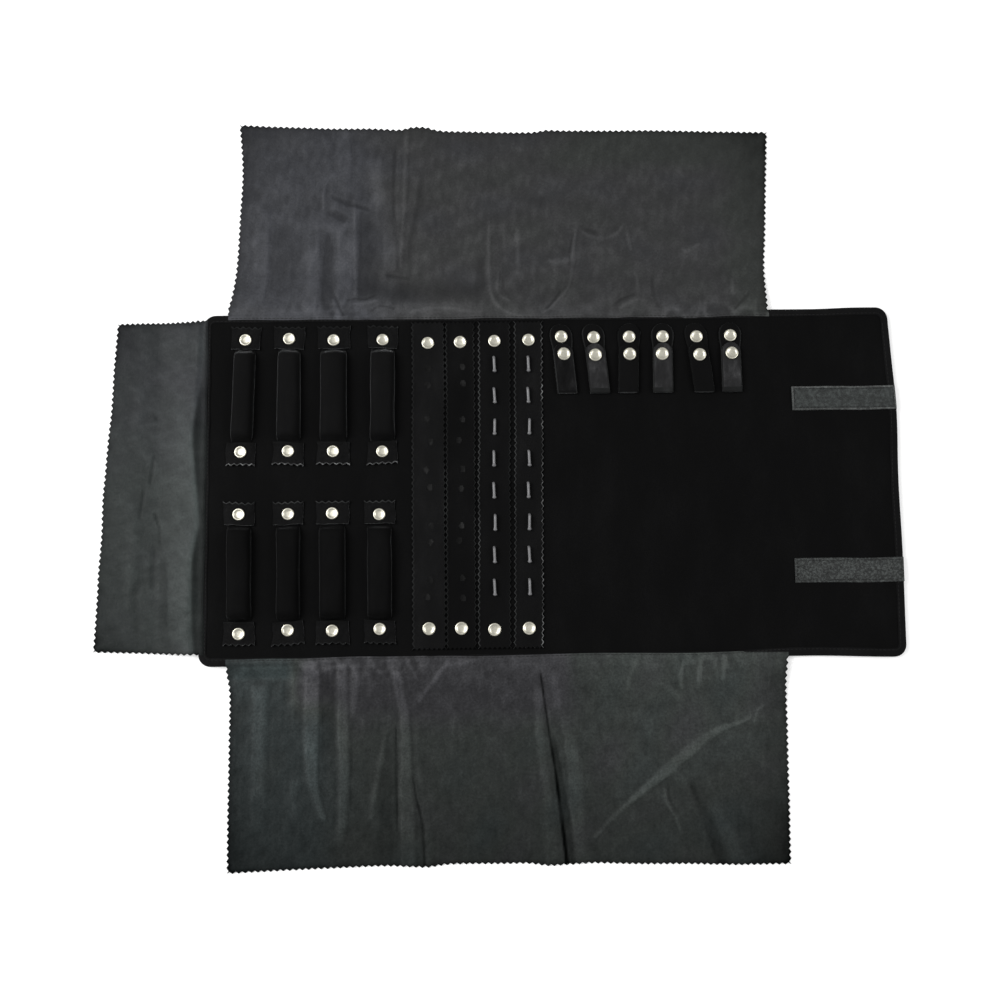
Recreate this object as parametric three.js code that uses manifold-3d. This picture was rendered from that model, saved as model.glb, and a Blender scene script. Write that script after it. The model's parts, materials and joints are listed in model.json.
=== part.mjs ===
// A jewelry roll lying open on a table: a padded velvet panel with ring bars, earring strips,
// hook strips and snap loops on it, three thin flaps along its edges and a closing end on the right.
// Lengths are in millimetres and angles in degrees. X runs along the roll, Y across it and Z up.
// The origin is the middle of the panel's underside.
import * as THREE from "three";
import { mergeVertices } from "three/addons/utils/BufferGeometryUtils.js";
import Module from "manifold-3d";

const wasm = await Module();
wasm.setup();

// Clearances
const plyGap = 0.1;
const seatGap = 0.3;
const foldGap = 0.2;
const overrun = 3;

// Padded panel: an outer cover, a foam sheet and a velvet lining in a folded binding
const coverThickness = 1.2;
const paddingThickness = 2.4;
const liningThickness = 1.2;
const bindingWidth = 6.5;
const bindingThickness = 0.7;
const cornerRadius = 10;
const closingEndLength = 91.5;
const cornerSteps = 3;

// Ring bars: stuffed velvet tubes in two rows, with a flat snap tab at each end
const ringBarCount = 4;
const ringBarLength = 115.6;
const ringBarWidth = 22;
const ringBarHeight = 11;
const ringTabLength = 17.5;
const ringTabWidth = 27;
const ringTabThickness = 1.6;
const ringCapInset = 6.5;
const ringGap = 10.8;
const ringTopMargin = 10.8;
const ringRowGap = 29.5;
const ringBottomMargin = 16.5;
const ringSwellLength = 9;
const ringNeckShare = 0.75;
const ringSides = 12;
const ringShiftShares = [0, 0.05, -0.12, 0];

// Earring strips and hook strips: long flat velvet strips with pinked edges
const stripCount = 4;
const stripWidth = 25;
const stripGap = 2.7;
const stripThickness = 1.4;
const stripTabLength = 25;
const stripTopMargin = 7.6;
const stripBottomMargin = 11.1;
const stripCapInset = 17;
const stripShiftShares = [0, 0.15, -0.2, 0];

// Hooks: bent rods in a row down each hook strip, open towards the far end
const hookCount = 8;
const hookPitch = 26.2;
const hookLength = 13;
const hookRod = 1.7;
const hookKnob = 2.4;
const hookRise = 3.6;
const hookDroopShare = 0.85;
const hookStart = 31;
const hookSteps = 4;
const hookSides = 6;

// Snap loops: a strap laid down the panel and folded back over itself
const loopCount = 6;
const loopHeadWidth = 20;
const loopWidth = 16;
const loopGap = 8.1;
const loopThickness = 1.5;
const loopTopMargin = 10.5;
const loopLength = 59;
const loopStrapLength = 42;
const loopHeadLength = 22;
const loopHeadCapInset = 11.5;
const loopStrapCapInset = 9.8;
const loopPlyGap = 0.5;
const loopSideSteps = 5;
const loopShiftShares = [0, -0.16, 0.01, -0.02, -0.02, 0];
const loopLeanShares = [0.5, 0.54, -0.23, -0.11, 0.66, 0];

// Snap caps: pressed metal discs with a dished middle
const capRadius = 5;
const capHeight = 1.9;
const capDish = 0.6;
const capCrownShare = 0.8;
const capDishShare = 0.55;
const capSink = 0.5;
const capSides = 12;

// Margins between the groups, from the left end to the line where the closing end folds
const leftMargin = 19.4;
const ringToStripMargin = 11.7;
const stripToLoopMargin = 5.9;
const loopToFoldMargin = 32.6;

// Flaps: single sheets of thin cloth with pinked edges, hemmed on top of the panel's edge
const flapThickness = 1;
const flapHem = 5.5;
const flapRampLength = 9;
const flapRampSteps = 6;
const topFlapLeftDepth = 164;
const topFlapRightDepth = 157;
const topFlapLeftInset = 22.5;
const topFlapEndInset = 9.2;
const topFlapLean = 5.7;
const bottomFlapLeftDepth = 157.6;
const bottomFlapRightDepth = 160.3;
const bottomFlapLeftInset = 24;
const bottomFlapEndInset = 5;
const bottomFlapLeftLean = 2.4;
const bottomFlapRightLean = -4.2;
const leftFlapTopDepth = 69.7;
const leftFlapBottomDepth = 83.5;
const leftFlapTopInset = 7.1;
const leftFlapBottomInset = 11.3;
const leftFlapBottomLean = 3.6;

// Creases pressed into the flaps
const creaseWidth = 16;
const creaseHeight = 2.2;
const creaseEndShare = 0.15;
const creaseFootShare = 0.4;
const creaseSections = 6;
const creaseSides = 5;

// Pinking: the zigzag cut along the cloth's edges
const toothPitch = 5;
const toothDepth = 2;
const toothUnevenness = 0.2;
const edgeBowShare = 0.003;

// Hook-and-loop closing tapes, two inside the closing end and two outside under the panel
const tapeWidth = 20.5;
const tapeThickness = 1.4;
const tapeStart = 5.5;
const tapeUpperY = 69;
const tapeLowerY = -73.4;
const outerTapeLength = 100;
const outerTapeThickness = 0.8;
const outerTapeRecess = 1;
const rollTurn = 288;

// Worked-out sizes
const panelThickness = coverThickness + paddingThickness + liningThickness + 2 * plyGap;
const ringPitch = ringTabWidth + ringGap;
const stripPitch = stripWidth + stripGap;
const loopPitch = loopHeadWidth + loopGap;
const ringSpan = ringBarCount * ringPitch - ringGap;
const stripSpan = stripCount * stripPitch - stripGap;
const loopSpan = loopCount * loopPitch - loopGap;
const mainLength =
  leftMargin + ringSpan + ringToStripMargin + stripSpan + stripToLoopMargin + loopSpan + loopToFoldMargin;
const panelLength = mainLength + closingEndLength;
const panelDepth = ringTopMargin + 2 * ringBarLength + ringRowGap + ringBottomMargin;
const leftX = -panelLength / 2;
const rightX = panelLength / 2;
const foldX = leftX + mainLength;
const topY = panelDepth / 2;
const bottomY = -panelDepth / 2;
const seatZ = panelThickness + seatGap;
const ringStartX = leftX + leftMargin;
const stripStartX = ringStartX + ringSpan + ringToStripMargin;
const loopStartX = stripStartX + stripSpan + stripToLoopMargin;

// Materials
const velvet = new THREE.MeshStandardMaterial({ color: 0x0c0c0e, roughness: 0.95 });
const coverCloth = new THREE.MeshStandardMaterial({ color: 0x101012, roughness: 0.9 });
const foam = new THREE.MeshStandardMaterial({ color: 0x8a8a86, roughness: 1 });
const flapCloth = new THREE.MeshStandardMaterial({ color: 0x3c4142, roughness: 0.9 });
const hookTape = new THREE.MeshStandardMaterial({ color: 0x333838, roughness: 0.85 });
const loopTape = new THREE.MeshStandardMaterial({ color: 0x3a3f3e, roughness: 1 });

// Solids: a closed geometry becomes a solid that can be joined and cut, and the other way round
function solidOf(geometry) {
  const plain = geometry.clone();
  plain.deleteAttribute("normal");
  plain.deleteAttribute("uv");
  const merged = mergeVertices(plain, 1e-4);
  return new wasm.Manifold(
    new wasm.Mesh({
      numProp: 3,
      vertProperties: new Float32Array(merged.attributes.position.array),
      triVerts: new Uint32Array(merged.index.array),
    }),
  );
}

function geometryOf(solid) {
  const mesh = solid.getMesh();
  const geometry = new THREE.BufferGeometry();
  geometry.setAttribute("position", new THREE.BufferAttribute(mesh.vertProperties, mesh.numProp));
  geometry.setIndex(new THREE.BufferAttribute(mesh.triVerts, 1));
  geometry.computeVertexNormals();
  return geometry;
}

function joined(solids) {
  return solids.reduce((whole, next) => whole.add(next));
}

// A flat outline raised from z0 to z1
function plate(outline, z0, z1) {
  const geometry = new THREE.ExtrudeGeometry(outline, {
    depth: z1 - z0,
    bevelEnabled: false,
    curveSegments: cornerSteps,
  });
  geometry.translate(0, 0, z0);
  return solidOf(geometry);
}

// A box between two corners
function block(low, high) {
  const size = new THREE.Vector3().subVectors(high, low);
  const centre = new THREE.Vector3().addVectors(low, high).multiplyScalar(0.5);
  const geometry = new THREE.BoxGeometry(size.x, size.y, size.z);
  geometry.translate(centre.x, centre.y, centre.z);
  return solidOf(geometry);
}

// A skin over a row of sections with the same number of points, closed at both ends
function loft(sections) {
  const around = sections[0].length;
  const points = sections.flat();
  const index = [];
  for (let i = 0; i + 1 < sections.length; i++) {
    for (let j = 0; j < around; j++) {
      const a = i * around + j;
      const b = i * around + ((j + 1) % around);
      index.push(a, b, b + around, a, b + around, a + around);
    }
  }
  const last = (sections.length - 1) * around;
  for (let j = 1; j + 1 < around; j++) {
    index.push(0, j + 1, j);
    index.push(last, last + j, last + j + 1);
  }
  const geometry = new THREE.BufferGeometry().setFromPoints(points);
  geometry.setIndex(index);
  const made = solidOf(geometry);
  if (made.volume() > 0) {
    return made;
  }
  for (let k = 0; k < index.length; k += 3) {
    [index[k + 1], index[k + 2]] = [index[k + 2], index[k + 1]];
  }
  geometry.setIndex(index);
  return solidOf(geometry);
}

function outlineOf(points) {
  return new THREE.Shape(points);
}

// An edge from a to b, bowed out a little and cut to a zigzag of long and short teeth
function pinkedEdge(a, b, inward) {
  const length = a.distanceTo(b);
  const teeth = Math.max(1, Math.round(length / toothPitch));
  const points = [];
  for (let i = 0; i < 2 * teeth; i++) {
    const share = i / (2 * teeth);
    const cut = [0, toothDepth, toothUnevenness, toothDepth][i % 4];
    const point = new THREE.Vector2().lerpVectors(a, b, share);
    points.push(point.addScaledVector(inward, cut - edgeBowShare * length * 4 * share * (1 - share)));
  }
  return points;
}

// Corners run anticlockwise. An edge is pinked where its flag is true
function pinkedOutline(corners, pinked) {
  const points = [];
  corners.forEach((a, i) => {
    const b = corners[(i + 1) % corners.length];
    if (pinked[i]) {
      const along = new THREE.Vector2().subVectors(b, a).normalize();
      points.push(...pinkedEdge(a, b, new THREE.Vector2(-along.y, along.x)));
    } else {
      points.push(a);
    }
  });
  return outlineOf(points);
}

// Panel plies
// One section of the panel: its outer corners are rounded, and it is square where it meets the fold
function sectionOutline(side, inset, foldInset) {
  const outer = side < 0 ? leftX + inset : rightX - inset;
  const inner = foldX + side * foldInset;
  const radius = cornerRadius - inset > bindingThickness ? cornerRadius - inset : bindingThickness;
  const low = bottomY + inset;
  const high = topY - inset;
  const outline = new THREE.Shape();
  const bend = outer - side * radius;
  outline.moveTo(inner, low);
  outline.lineTo(bend, low);
  if (side > 0) {
    outline.absarc(bend, low + radius, radius, -Math.PI / 2, 0, false);
    outline.absarc(bend, high - radius, radius, 0, Math.PI / 2, false);
  } else {
    outline.absarc(bend, low + radius, radius, -Math.PI / 2, -Math.PI, true);
    outline.absarc(bend, high - radius, radius, Math.PI, Math.PI / 2, true);
  }
  outline.lineTo(inner, high);
  outline.closePath();
  return outline;
}

const wideInset = bindingWidth + seatGap;
const narrowInset = bindingThickness + seatGap;
const coverTop = coverThickness;
const paddingLow = coverTop + plyGap;
const paddingTop = paddingLow + paddingThickness;
const liningLow = paddingTop + plyGap;
const flangeTop = bindingThickness + plyGap;
const flangeLow = panelThickness - bindingThickness - plyGap;

function coverOf(side) {
  return plate(sectionOutline(side, wideInset, foldGap), 0, coverTop).add(
    plate(sectionOutline(side, narrowInset, foldGap), flangeTop, coverTop),
  );
}

function liningOf(side) {
  return plate(sectionOutline(side, wideInset, foldGap), liningLow, panelThickness).add(
    plate(sectionOutline(side, narrowInset, foldGap), liningLow, flangeLow),
  );
}

function bindingOf(side) {
  const whole = plate(sectionOutline(side, 0, foldGap), 0, panelThickness);
  const hollow = plate(
    sectionOutline(side, bindingThickness, -overrun),
    bindingThickness,
    panelThickness - bindingThickness,
  );
  const window = plate(sectionOutline(side, bindingWidth, -overrun), -overrun, panelThickness + overrun);
  return whole.subtract(hollow).subtract(window);
}

// Snap cap standing on a tab: its axis is at x, y and its seat at z
function snapCap(x, y, z) {
  const profile = [
    new THREE.Vector2(0, -capSink),
    new THREE.Vector2(capRadius, -capSink),
    new THREE.Vector2(capRadius, capHeight / 2),
    new THREE.Vector2(capRadius * capCrownShare, capHeight),
    new THREE.Vector2(capRadius * capDishShare, capHeight - capDish),
    new THREE.Vector2(0, capHeight - capDish),
  ];
  const geometry = new THREE.LatheGeometry(profile, capSides);
  geometry.rotateX(Math.PI / 2);
  geometry.translate(x, y, z);
  return solidOf(geometry);
}

// Ring bars
// A tab of one bar, from the hinge line at 0 outwards, pinked along its free end
function ringTab(length, gap) {
  const half = ringTabWidth / 2;
  const corners = [
    new THREE.Vector2(-half, gap),
    new THREE.Vector2(half, gap),
    new THREE.Vector2(half, length),
    new THREE.Vector2(-half, length),
  ];
  return plate(pinkedOutline(corners, [false, false, true, false]), 0, ringTabThickness);
}

// Cross-section of the stuffed tube: flat under, crowned on top
function tubeSection(along, width, height) {
  const points = [];
  for (let j = 0; j < ringSides; j++) {
    const angle = (2 * Math.PI * j) / ringSides;
    const crown = Math.sin(angle) > 0 ? height : 0;
    const lift = crown * Math.sin(angle);
    points.push(new THREE.Vector3((width / 2) * Math.cos(angle), along, lift));
  }
  return points;
}

function ringTube(length) {
  const swellShares = [0, 0.25, 0.6, 1];
  const riseShares = [0.16, 0.3, 0.8, 1];
  const near = swellShares.map((share, i) => [share * ringSwellLength, riseShares[i]]);
  const far = near.map(([along, rise]) => [length - along, rise]).reverse();
  const stations = [...near, ...far];
  const sections = stations.map(([along, rise]) => {
    const width = ringBarWidth * (ringNeckShare + (1 - ringNeckShare) * rise);
    return tubeSection(along, width, ringBarHeight * rise);
  });
  return loft(sections);
}

function ringBarSolid() {
  const tubeLength = ringBarLength - 2 * ringTabLength;
  const tube = ringTube(tubeLength).translate([0, seatGap, 0]);
  const base = block(
    new THREE.Vector3(-ringBarWidth / 2, seatGap, 0),
    new THREE.Vector3(ringBarWidth / 2, tubeLength + overrun, ringTabThickness),
  );
  const tab = ringTab(ringTabLength, 0).translate([0, tubeLength, 0]);
  const cap = snapCap(0, tubeLength + ringCapInset, ringTabThickness);
  return joined([base, tube, tab, cap]);
}

function ringEndSolid() {
  return ringTab(ringTabLength, 0).add(snapCap(0, ringCapInset, ringTabThickness));
}

// Strips
function stripOutline(from, to, pinkedStart) {
  const half = stripWidth / 2;
  const corners = [
    new THREE.Vector2(-half, from),
    new THREE.Vector2(half, from),
    new THREE.Vector2(half, to),
    new THREE.Vector2(-half, to),
  ];
  return pinkedOutline(corners, [pinkedStart, true, !pinkedStart, true]);
}

// A hook: a rod that leaves the strip, turns down it and ends in a knob
function hookSolid(along) {
  const foot = stripThickness / 2;
  const path = new THREE.CatmullRomCurve3([
    new THREE.Vector3(0, along, foot),
    new THREE.Vector3(0, along, stripThickness + hookRise / 2),
    new THREE.Vector3(0, along - hookRod, stripThickness + hookRise),
    new THREE.Vector3(0, along - hookLength, stripThickness + hookRise * hookDroopShare),
  ]);
  const section = new THREE.Shape();
  section.absarc(0, 0, hookRod, 0, 2 * Math.PI, false);
  const rod = new THREE.ExtrudeGeometry(section, {
    steps: hookSteps,
    curveSegments: hookSides / 2,
    extrudePath: path,
  });
  const knob = new THREE.SphereGeometry(hookKnob, hookSides, hookSides / 2);
  knob.translate(0, along - hookLength, stripThickness + hookRise * hookDroopShare);
  return solidOf(rod).add(solidOf(knob));
}

// The strip lies below its hinge line, towards -Y
function stripSolid(hooked) {
  const stripLength = panelDepth - stripTopMargin - stripBottomMargin;
  const moving = stripLength - stripTabLength;
  const body = plate(stripOutline(-moving, -seatGap, true), 0, stripThickness);
  const cap = snapCap(0, stripCapInset - moving, stripThickness);
  if (!hooked) {
    return body.add(cap);
  }
  const hooks = [];
  for (let i = 0; i < hookCount; i++) {
    hooks.push(hookSolid(stripTabLength - hookStart - i * hookPitch));
  }
  return joined([body, cap, ...hooks]);
}

function stripEndSolid() {
  const body = plate(stripOutline(0, stripTabLength, false), 0, stripThickness);
  return body.add(snapCap(0, stripTabLength - stripCapInset, stripThickness));
}

// Snap loops: 0 is the fold, and the strap runs up from it to a round head
// It leans aside by the slope on the way, and the fold stays square to the panel
function loopOutline(from, length, slope) {
  const half = loopWidth / 2;
  const head = loopHeadWidth / 2;
  const shoulder = length - loopHeadLength;
  const middle = length - head;
  const outline = new THREE.Shape();
  outline.moveTo(-half - slope * from, from);
  outline.lineTo(half - slope * from, from);
  outline.lineTo(head - slope * shoulder, shoulder);
  outline.lineTo(head - slope * middle, middle);
  outline.absarc(-slope * middle, middle, head, 0, Math.PI, false);
  outline.lineTo(-head - slope * shoulder, shoulder);
  outline.closePath();
  return outline;
}

const foldRadius = loopThickness + loopPlyGap / 2;

function loopBaseSolid(slope) {
  const strap = plate(loopOutline(foldRadius + seatGap, loopLength, slope), 0, loopThickness);
  const capY = loopLength - loopHeadCapInset;
  return strap.add(snapCap(-slope * capY, capY, loopThickness));
}

// The strap's upper run, with the round fold that it turns about
function loopStrapSolid(slope) {
  const low = loopThickness + loopPlyGap;
  const strap = plate(loopOutline(0, loopStrapLength, slope), low, low + loopThickness);
  const roll = new THREE.CylinderGeometry(foldRadius, foldRadius, loopWidth, 2 * loopSideSteps);
  roll.rotateZ(Math.PI / 2);
  roll.translate(0, 0, foldRadius);
  const capY = loopStrapLength - loopStrapCapInset;
  const cap = snapCap(-slope * capY, capY, low + loopThickness);
  return joined([strap, solidOf(roll), cap]);
}

// Flaps
// A flap in its own frame: 0 is the panel's edge, the sheet runs out along +Y, and X runs along the seam
function flapSolid(seam, outer, creases) {
  const edge = seatGap;
  const ramp = edge + flapRampLength;
  const [seamLow, seamHigh] = seam;
  const corners = [
    new THREE.Vector2(seamLow, ramp - flapThickness),
    new THREE.Vector2(seamHigh, ramp - flapThickness),
    outer[1],
    outer[0],
  ];
  const sheet = plate(pinkedOutline(corners, [false, true, true, true]), 0, flapThickness);
  const profile = [];
  for (let i = 0; i <= flapRampSteps; i++) {
    const share = i / flapRampSteps;
    const fall = (1 + Math.cos(Math.PI * share)) / 2;
    profile.push(new THREE.Vector2(edge + share * flapRampLength, panelThickness * fall));
  }
  const upper = profile.map((p) => new THREE.Vector2(p.x, p.y + flapThickness)).reverse();
  const rise = new THREE.ExtrudeGeometry(outlineOf([...profile, ...upper]), {
    depth: seamHigh - seamLow - 2 * toothDepth,
    bevelEnabled: false,
  });
  rise.rotateX(Math.PI / 2);
  rise.rotateZ(Math.PI / 2);
  rise.translate(seamLow + toothDepth, 0, 0);
  return joined([sheet, solidOf(rise), ...creases]);
}

// A crease: a low rounded ridge between two points on the sheet, fading out at both ends
function crease(start, end, width, height) {
  const along = new THREE.Vector2().subVectors(end, start);
  const across = new THREE.Vector2(-along.y, along.x).normalize();
  const sections = [];
  for (let i = 0; i <= creaseSections; i++) {
    const share = i / creaseSections;
    const fade = creaseEndShare + (1 - creaseEndShare) * Math.sin(Math.PI * share);
    const middle = new THREE.Vector2().lerpVectors(start, end, share);
    const points = [];
    for (let j = 0; j <= creaseSides; j++) {
      const turn = (Math.PI * j) / creaseSides;
      const out = (Math.cos(turn) * width * fade) / 2;
      const lift = Math.sin(turn) * height * fade;
      const low = flapThickness * creaseFootShare;
      points.push(new THREE.Vector3(middle.x + across.x * out, middle.y + across.y * out, low + lift));
    }
    sections.push(points);
  }
  return loft(sections);
}

// The hem is the sewn margin of the flap's own cloth, which stays on the panel
function hemSolid(low, high) {
  return block(
    new THREE.Vector3(low, -flapHem, 0),
    new THREE.Vector3(high, 0, flapThickness),
  );
}

// The assembly
const roll = new THREE.Group();

function place(name, solid, material, parent = roll) {
  const mesh = new THREE.Mesh(geometryOf(solid), material);
  mesh.name = name;
  parent.add(mesh);
  return mesh;
}

// A frame at a point of the part, turned about Z
function frameAt(x, y, z, turn = 0) {
  const frame = new THREE.Group();
  frame.position.set(x, y, z);
  frame.rotation.z = turn;
  roll.add(frame);
  return frame;
}

// Panel and closing end
const tapeMiddleX = (foldX + tapeStart + rightX) / 2;
const outerTapeX = tapeMiddleX - rollTurn;

function recess(y) {
  const halfLength = outerTapeLength / 2 + seatGap;
  const halfWidth = tapeWidth / 2 + seatGap;
  return block(
    new THREE.Vector3(outerTapeX - halfLength, y - halfWidth, -overrun),
    new THREE.Vector3(outerTapeX + halfLength, y + halfWidth, outerTapeRecess),
  );
}

const tapeYs = [tapeUpperY, tapeLowerY];
const recessedCover = tapeYs.reduce((cover, y) => cover.subtract(recess(y)), coverOf(-1));
place("outer_cover", recessedCover, coverCloth);
place("padding", plate(sectionOutline(-1, narrowInset, foldGap), paddingLow, paddingTop), foam);
place("velvet_lining", liningOf(-1), velvet);
place("edge_binding", bindingOf(-1), velvet);
place("closing_end_cover", coverOf(1), coverCloth);
place("closing_end_padding", plate(sectionOutline(1, narrowInset, foldGap), paddingLow, paddingTop), foam);
place("closing_end_lining", liningOf(1), velvet);
place("closing_end_binding", bindingOf(1), velvet);

// Closing tapes
const tapeNames = ["upper", "lower"];
const tapeCloths = [hookTape, loopTape];
tapeYs.forEach((y, i) => {
  const inner = block(
    new THREE.Vector3(foldX + tapeStart, y - tapeWidth / 2, seatZ),
    new THREE.Vector3(rightX, y + tapeWidth / 2, seatZ + tapeThickness),
  );
  place("closing_tape_" + tapeNames[i], inner, tapeCloths[i]);
  const low = outerTapeRecess - outerTapeThickness - plyGap;
  const outer = block(
    new THREE.Vector3(outerTapeX - outerTapeLength / 2, y - tapeWidth / 2, low),
    new THREE.Vector3(outerTapeX + outerTapeLength / 2, y + tapeWidth / 2, low + outerTapeThickness),
  );
  place("outer_tape_" + tapeNames[i], outer, tapeCloths[1 - i]);
});

// Ring bars: the rows hinge at the panel's two long sides and open towards the middle
const ringHinges = [
  { y: topY - ringTopMargin - ringTabLength, turn: Math.PI },
  { y: bottomY + ringBottomMargin + ringTabLength, turn: 0 },
];
ringHinges.forEach(({ y, turn }, row) => {
  for (let i = 0; i < ringBarCount; i++) {
    const x = ringStartX + ringTabWidth / 2 + i * ringPitch + ringShiftShares[i] * ringGap;
    const number = row * ringBarCount + i + 1;
    place("ring_bar_" + number, ringBarSolid(), velvet, frameAt(x, y, seatZ, turn));
    place("ring_bar_end_" + number, ringEndSolid(), velvet, frameAt(x, y, seatZ, turn + Math.PI));
  }
});

// Strips: the first two take earrings and the others carry hooks
const stripNames = ["earring_strip_1", "earring_strip_2", "hook_strip_1", "hook_strip_2"];
const stripHingeY = topY - stripTopMargin - stripTabLength;
stripNames.forEach((name, i) => {
  const hooked = name.startsWith("hook");
  const x = stripStartX + stripWidth / 2 + i * stripPitch + stripShiftShares[i] * stripGap;
  const frame = frameAt(x, stripHingeY, seatZ);
  place(name, stripSolid(hooked), velvet, frame);
  place(name + "_end", stripEndSolid(), velvet, frame);
});

// Snap loops: each leans by the sideways run of its fold
const loopFoldY = topY - loopTopMargin - loopLength;
for (let i = 0; i < loopCount; i++) {
  const headX = loopStartX + loopHeadWidth / 2 + i * loopPitch + loopShiftShares[i] * loopGap;
  const run = loopLeanShares[i] * loopGap;
  const slope = run / (loopLength - loopHeadCapInset);
  const frame = frameAt(headX + run, loopFoldY, seatZ);
  place("snap_loop_base_" + (i + 1), loopBaseSolid(slope), velvet, frame);
  place("snap_loop_strap_" + (i + 1), loopStrapSolid(slope), velvet, frame);
}

// Flaps and their hems
const hemZ = panelThickness + seatGap;
const topSeam = [leftX + topFlapLeftInset, foldX - topFlapEndInset];
const bottomSeam = [bottomFlapEndInset - foldX, -leftX - bottomFlapLeftInset];
const leftSeam = [bottomY + leftFlapBottomInset, topY - leftFlapTopInset];

// Crease ends are shares of the sheet: along the seam, and out from the panel
const topCreaseShares = [
  [0.31, 0.1, 0.29, 0.95],
  [0.2, 0.1, 0.21, 0.6],
  [0.49, 0.4, 0.53, 0.1],
  [0.6, 0.15, 0.62, 0.5],
];
const bottomCreaseShares = [
  [0.45, 0.1, 0.4, 0.92],
  [0.1, 0.25, 0.35, 0.84],
  [0.71, 0.1, 0.67, 0.92],
];
const leftCreaseShares = [
  [0.1, 0.3, 0.45, 0.25],
  [0.52, 0.25, 0.9, 0.3],
];

function addFlap(name, frame, seam, outer, shares) {
  const inner = flapRampLength;
  const creases = shares.map(([startX, startY, endX, endY]) => {
    const depth = Math.min(outer[0].y, outer[1].y) - inner;
    const width = seam[1] - seam[0];
    const start = new THREE.Vector2(seam[0] + startX * width, inner + startY * depth);
    const end = new THREE.Vector2(seam[0] + endX * width, inner + endY * depth);
    return crease(start, end, creaseWidth, creaseHeight);
  });
  place(name, flapSolid(seam, outer, creases), flapCloth, frame(0));
  place(name + "_hem", hemSolid(seam[0], seam[1]), flapCloth, frame(hemZ));
}

addFlap(
  "top_flap",
  (z) => frameAt(0, topY, z),
  topSeam,
  [
    new THREE.Vector2(topSeam[0] + topFlapLean, topFlapLeftDepth),
    new THREE.Vector2(topSeam[1] + topFlapLean, topFlapRightDepth),
  ],
  topCreaseShares,
);
addFlap(
  "bottom_flap",
  (z) => frameAt(0, bottomY, z, Math.PI),
  bottomSeam,
  [
    new THREE.Vector2(bottomSeam[0] - bottomFlapRightLean, bottomFlapRightDepth),
    new THREE.Vector2(bottomSeam[1] - bottomFlapLeftLean, bottomFlapLeftDepth),
  ],
  bottomCreaseShares,
);
addFlap(
  "left_flap",
  (z) => frameAt(leftX, 0, z, Math.PI / 2),
  leftSeam,
  [
    new THREE.Vector2(leftSeam[0] + leftFlapBottomLean, leftFlapBottomDepth),
    new THREE.Vector2(leftSeam[1], leftFlapTopDepth),
  ],
  leftCreaseShares,
);

export default roll;
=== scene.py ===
import json
import math

import bpy
import numpy as np
from mathutils import Euler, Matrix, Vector


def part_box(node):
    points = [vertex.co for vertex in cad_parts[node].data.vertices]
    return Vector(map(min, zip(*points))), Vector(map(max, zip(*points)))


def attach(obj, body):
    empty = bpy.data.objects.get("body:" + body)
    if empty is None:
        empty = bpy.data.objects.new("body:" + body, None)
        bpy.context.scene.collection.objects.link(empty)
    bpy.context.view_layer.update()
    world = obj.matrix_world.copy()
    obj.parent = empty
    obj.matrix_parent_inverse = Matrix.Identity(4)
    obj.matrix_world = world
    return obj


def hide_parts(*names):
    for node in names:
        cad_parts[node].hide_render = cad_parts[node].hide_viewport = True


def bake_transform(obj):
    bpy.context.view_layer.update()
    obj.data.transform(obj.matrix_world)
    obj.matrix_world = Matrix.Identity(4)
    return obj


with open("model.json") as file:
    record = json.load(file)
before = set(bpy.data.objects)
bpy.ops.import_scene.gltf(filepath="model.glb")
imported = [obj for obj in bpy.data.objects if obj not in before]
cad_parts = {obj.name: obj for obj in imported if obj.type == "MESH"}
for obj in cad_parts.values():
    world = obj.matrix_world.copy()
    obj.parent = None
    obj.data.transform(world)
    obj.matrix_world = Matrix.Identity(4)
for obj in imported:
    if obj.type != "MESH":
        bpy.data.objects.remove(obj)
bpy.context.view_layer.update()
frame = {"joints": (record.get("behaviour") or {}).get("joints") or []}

# Sizes are in millimetres, in the frame of the part, and go to metres when a mesh is made
MM = 0.001

# The photograph's frame and view
FRAME_PX = 1000
FOCAL_PX = 1100
SENSOR_WIDTH = 36
CAMERA_PLACE = (-60.6, -116.7, 894.9)
CAMERA_TILT = (6.679, -1.092, -0.819)

# Floor and lights, in metres and watts: each light's name, place, size and power
FLOOR_HALF = 3.0
FLOOR_DROP = 0.0004
LIGHTS = [("key", (-1.25, 0.25, 1.25), 1.2, 25), ("fill", (1.3, 0.05, 1.2), 1.1, 10)]
SKY = 0.4


def corners(node):
    """A node's lowest and highest corners at rest."""
    low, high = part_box(node)
    return np.array(low) / MM, np.array(high) / MM


# Sizes read from the frame
LOW, HIGH = corners("edge_binding")
END_LOW, END_HIGH = corners("closing_end_binding")
LEFT, BOTTOM, RIGHT, TOP = LOW[0], LOW[1], END_HIGH[0], HIGH[1]
FOLD_X = (HIGH[0] + END_LOW[0]) / 2
SEAT = HIGH[2]
HINGES = {joint["name"]: np.array(joint["pos_m"]) / MM for joint in frame["joints"]}

# How far pieces lie above the panel: most of them, and the lowest place of any cloth
GAP = 0.3
LEAST_GAP = 0.12


# Objects
def add_object(name, data):
    thing = bpy.data.objects.new(name, data)
    bpy.context.scene.collection.objects.link(thing)
    return thing


def make_camera():
    data = bpy.data.cameras.new("camera")
    data.sensor_width = SENSOR_WIDTH
    data.lens = FOCAL_PX / FRAME_PX * SENSOR_WIDTH
    data.clip_start = 0.01
    camera = add_object("camera", data)
    camera.location = Vector(CAMERA_PLACE) * MM
    camera.rotation_euler = Euler([math.radians(a) for a in CAMERA_TILT])
    bpy.context.scene.camera = camera


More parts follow.
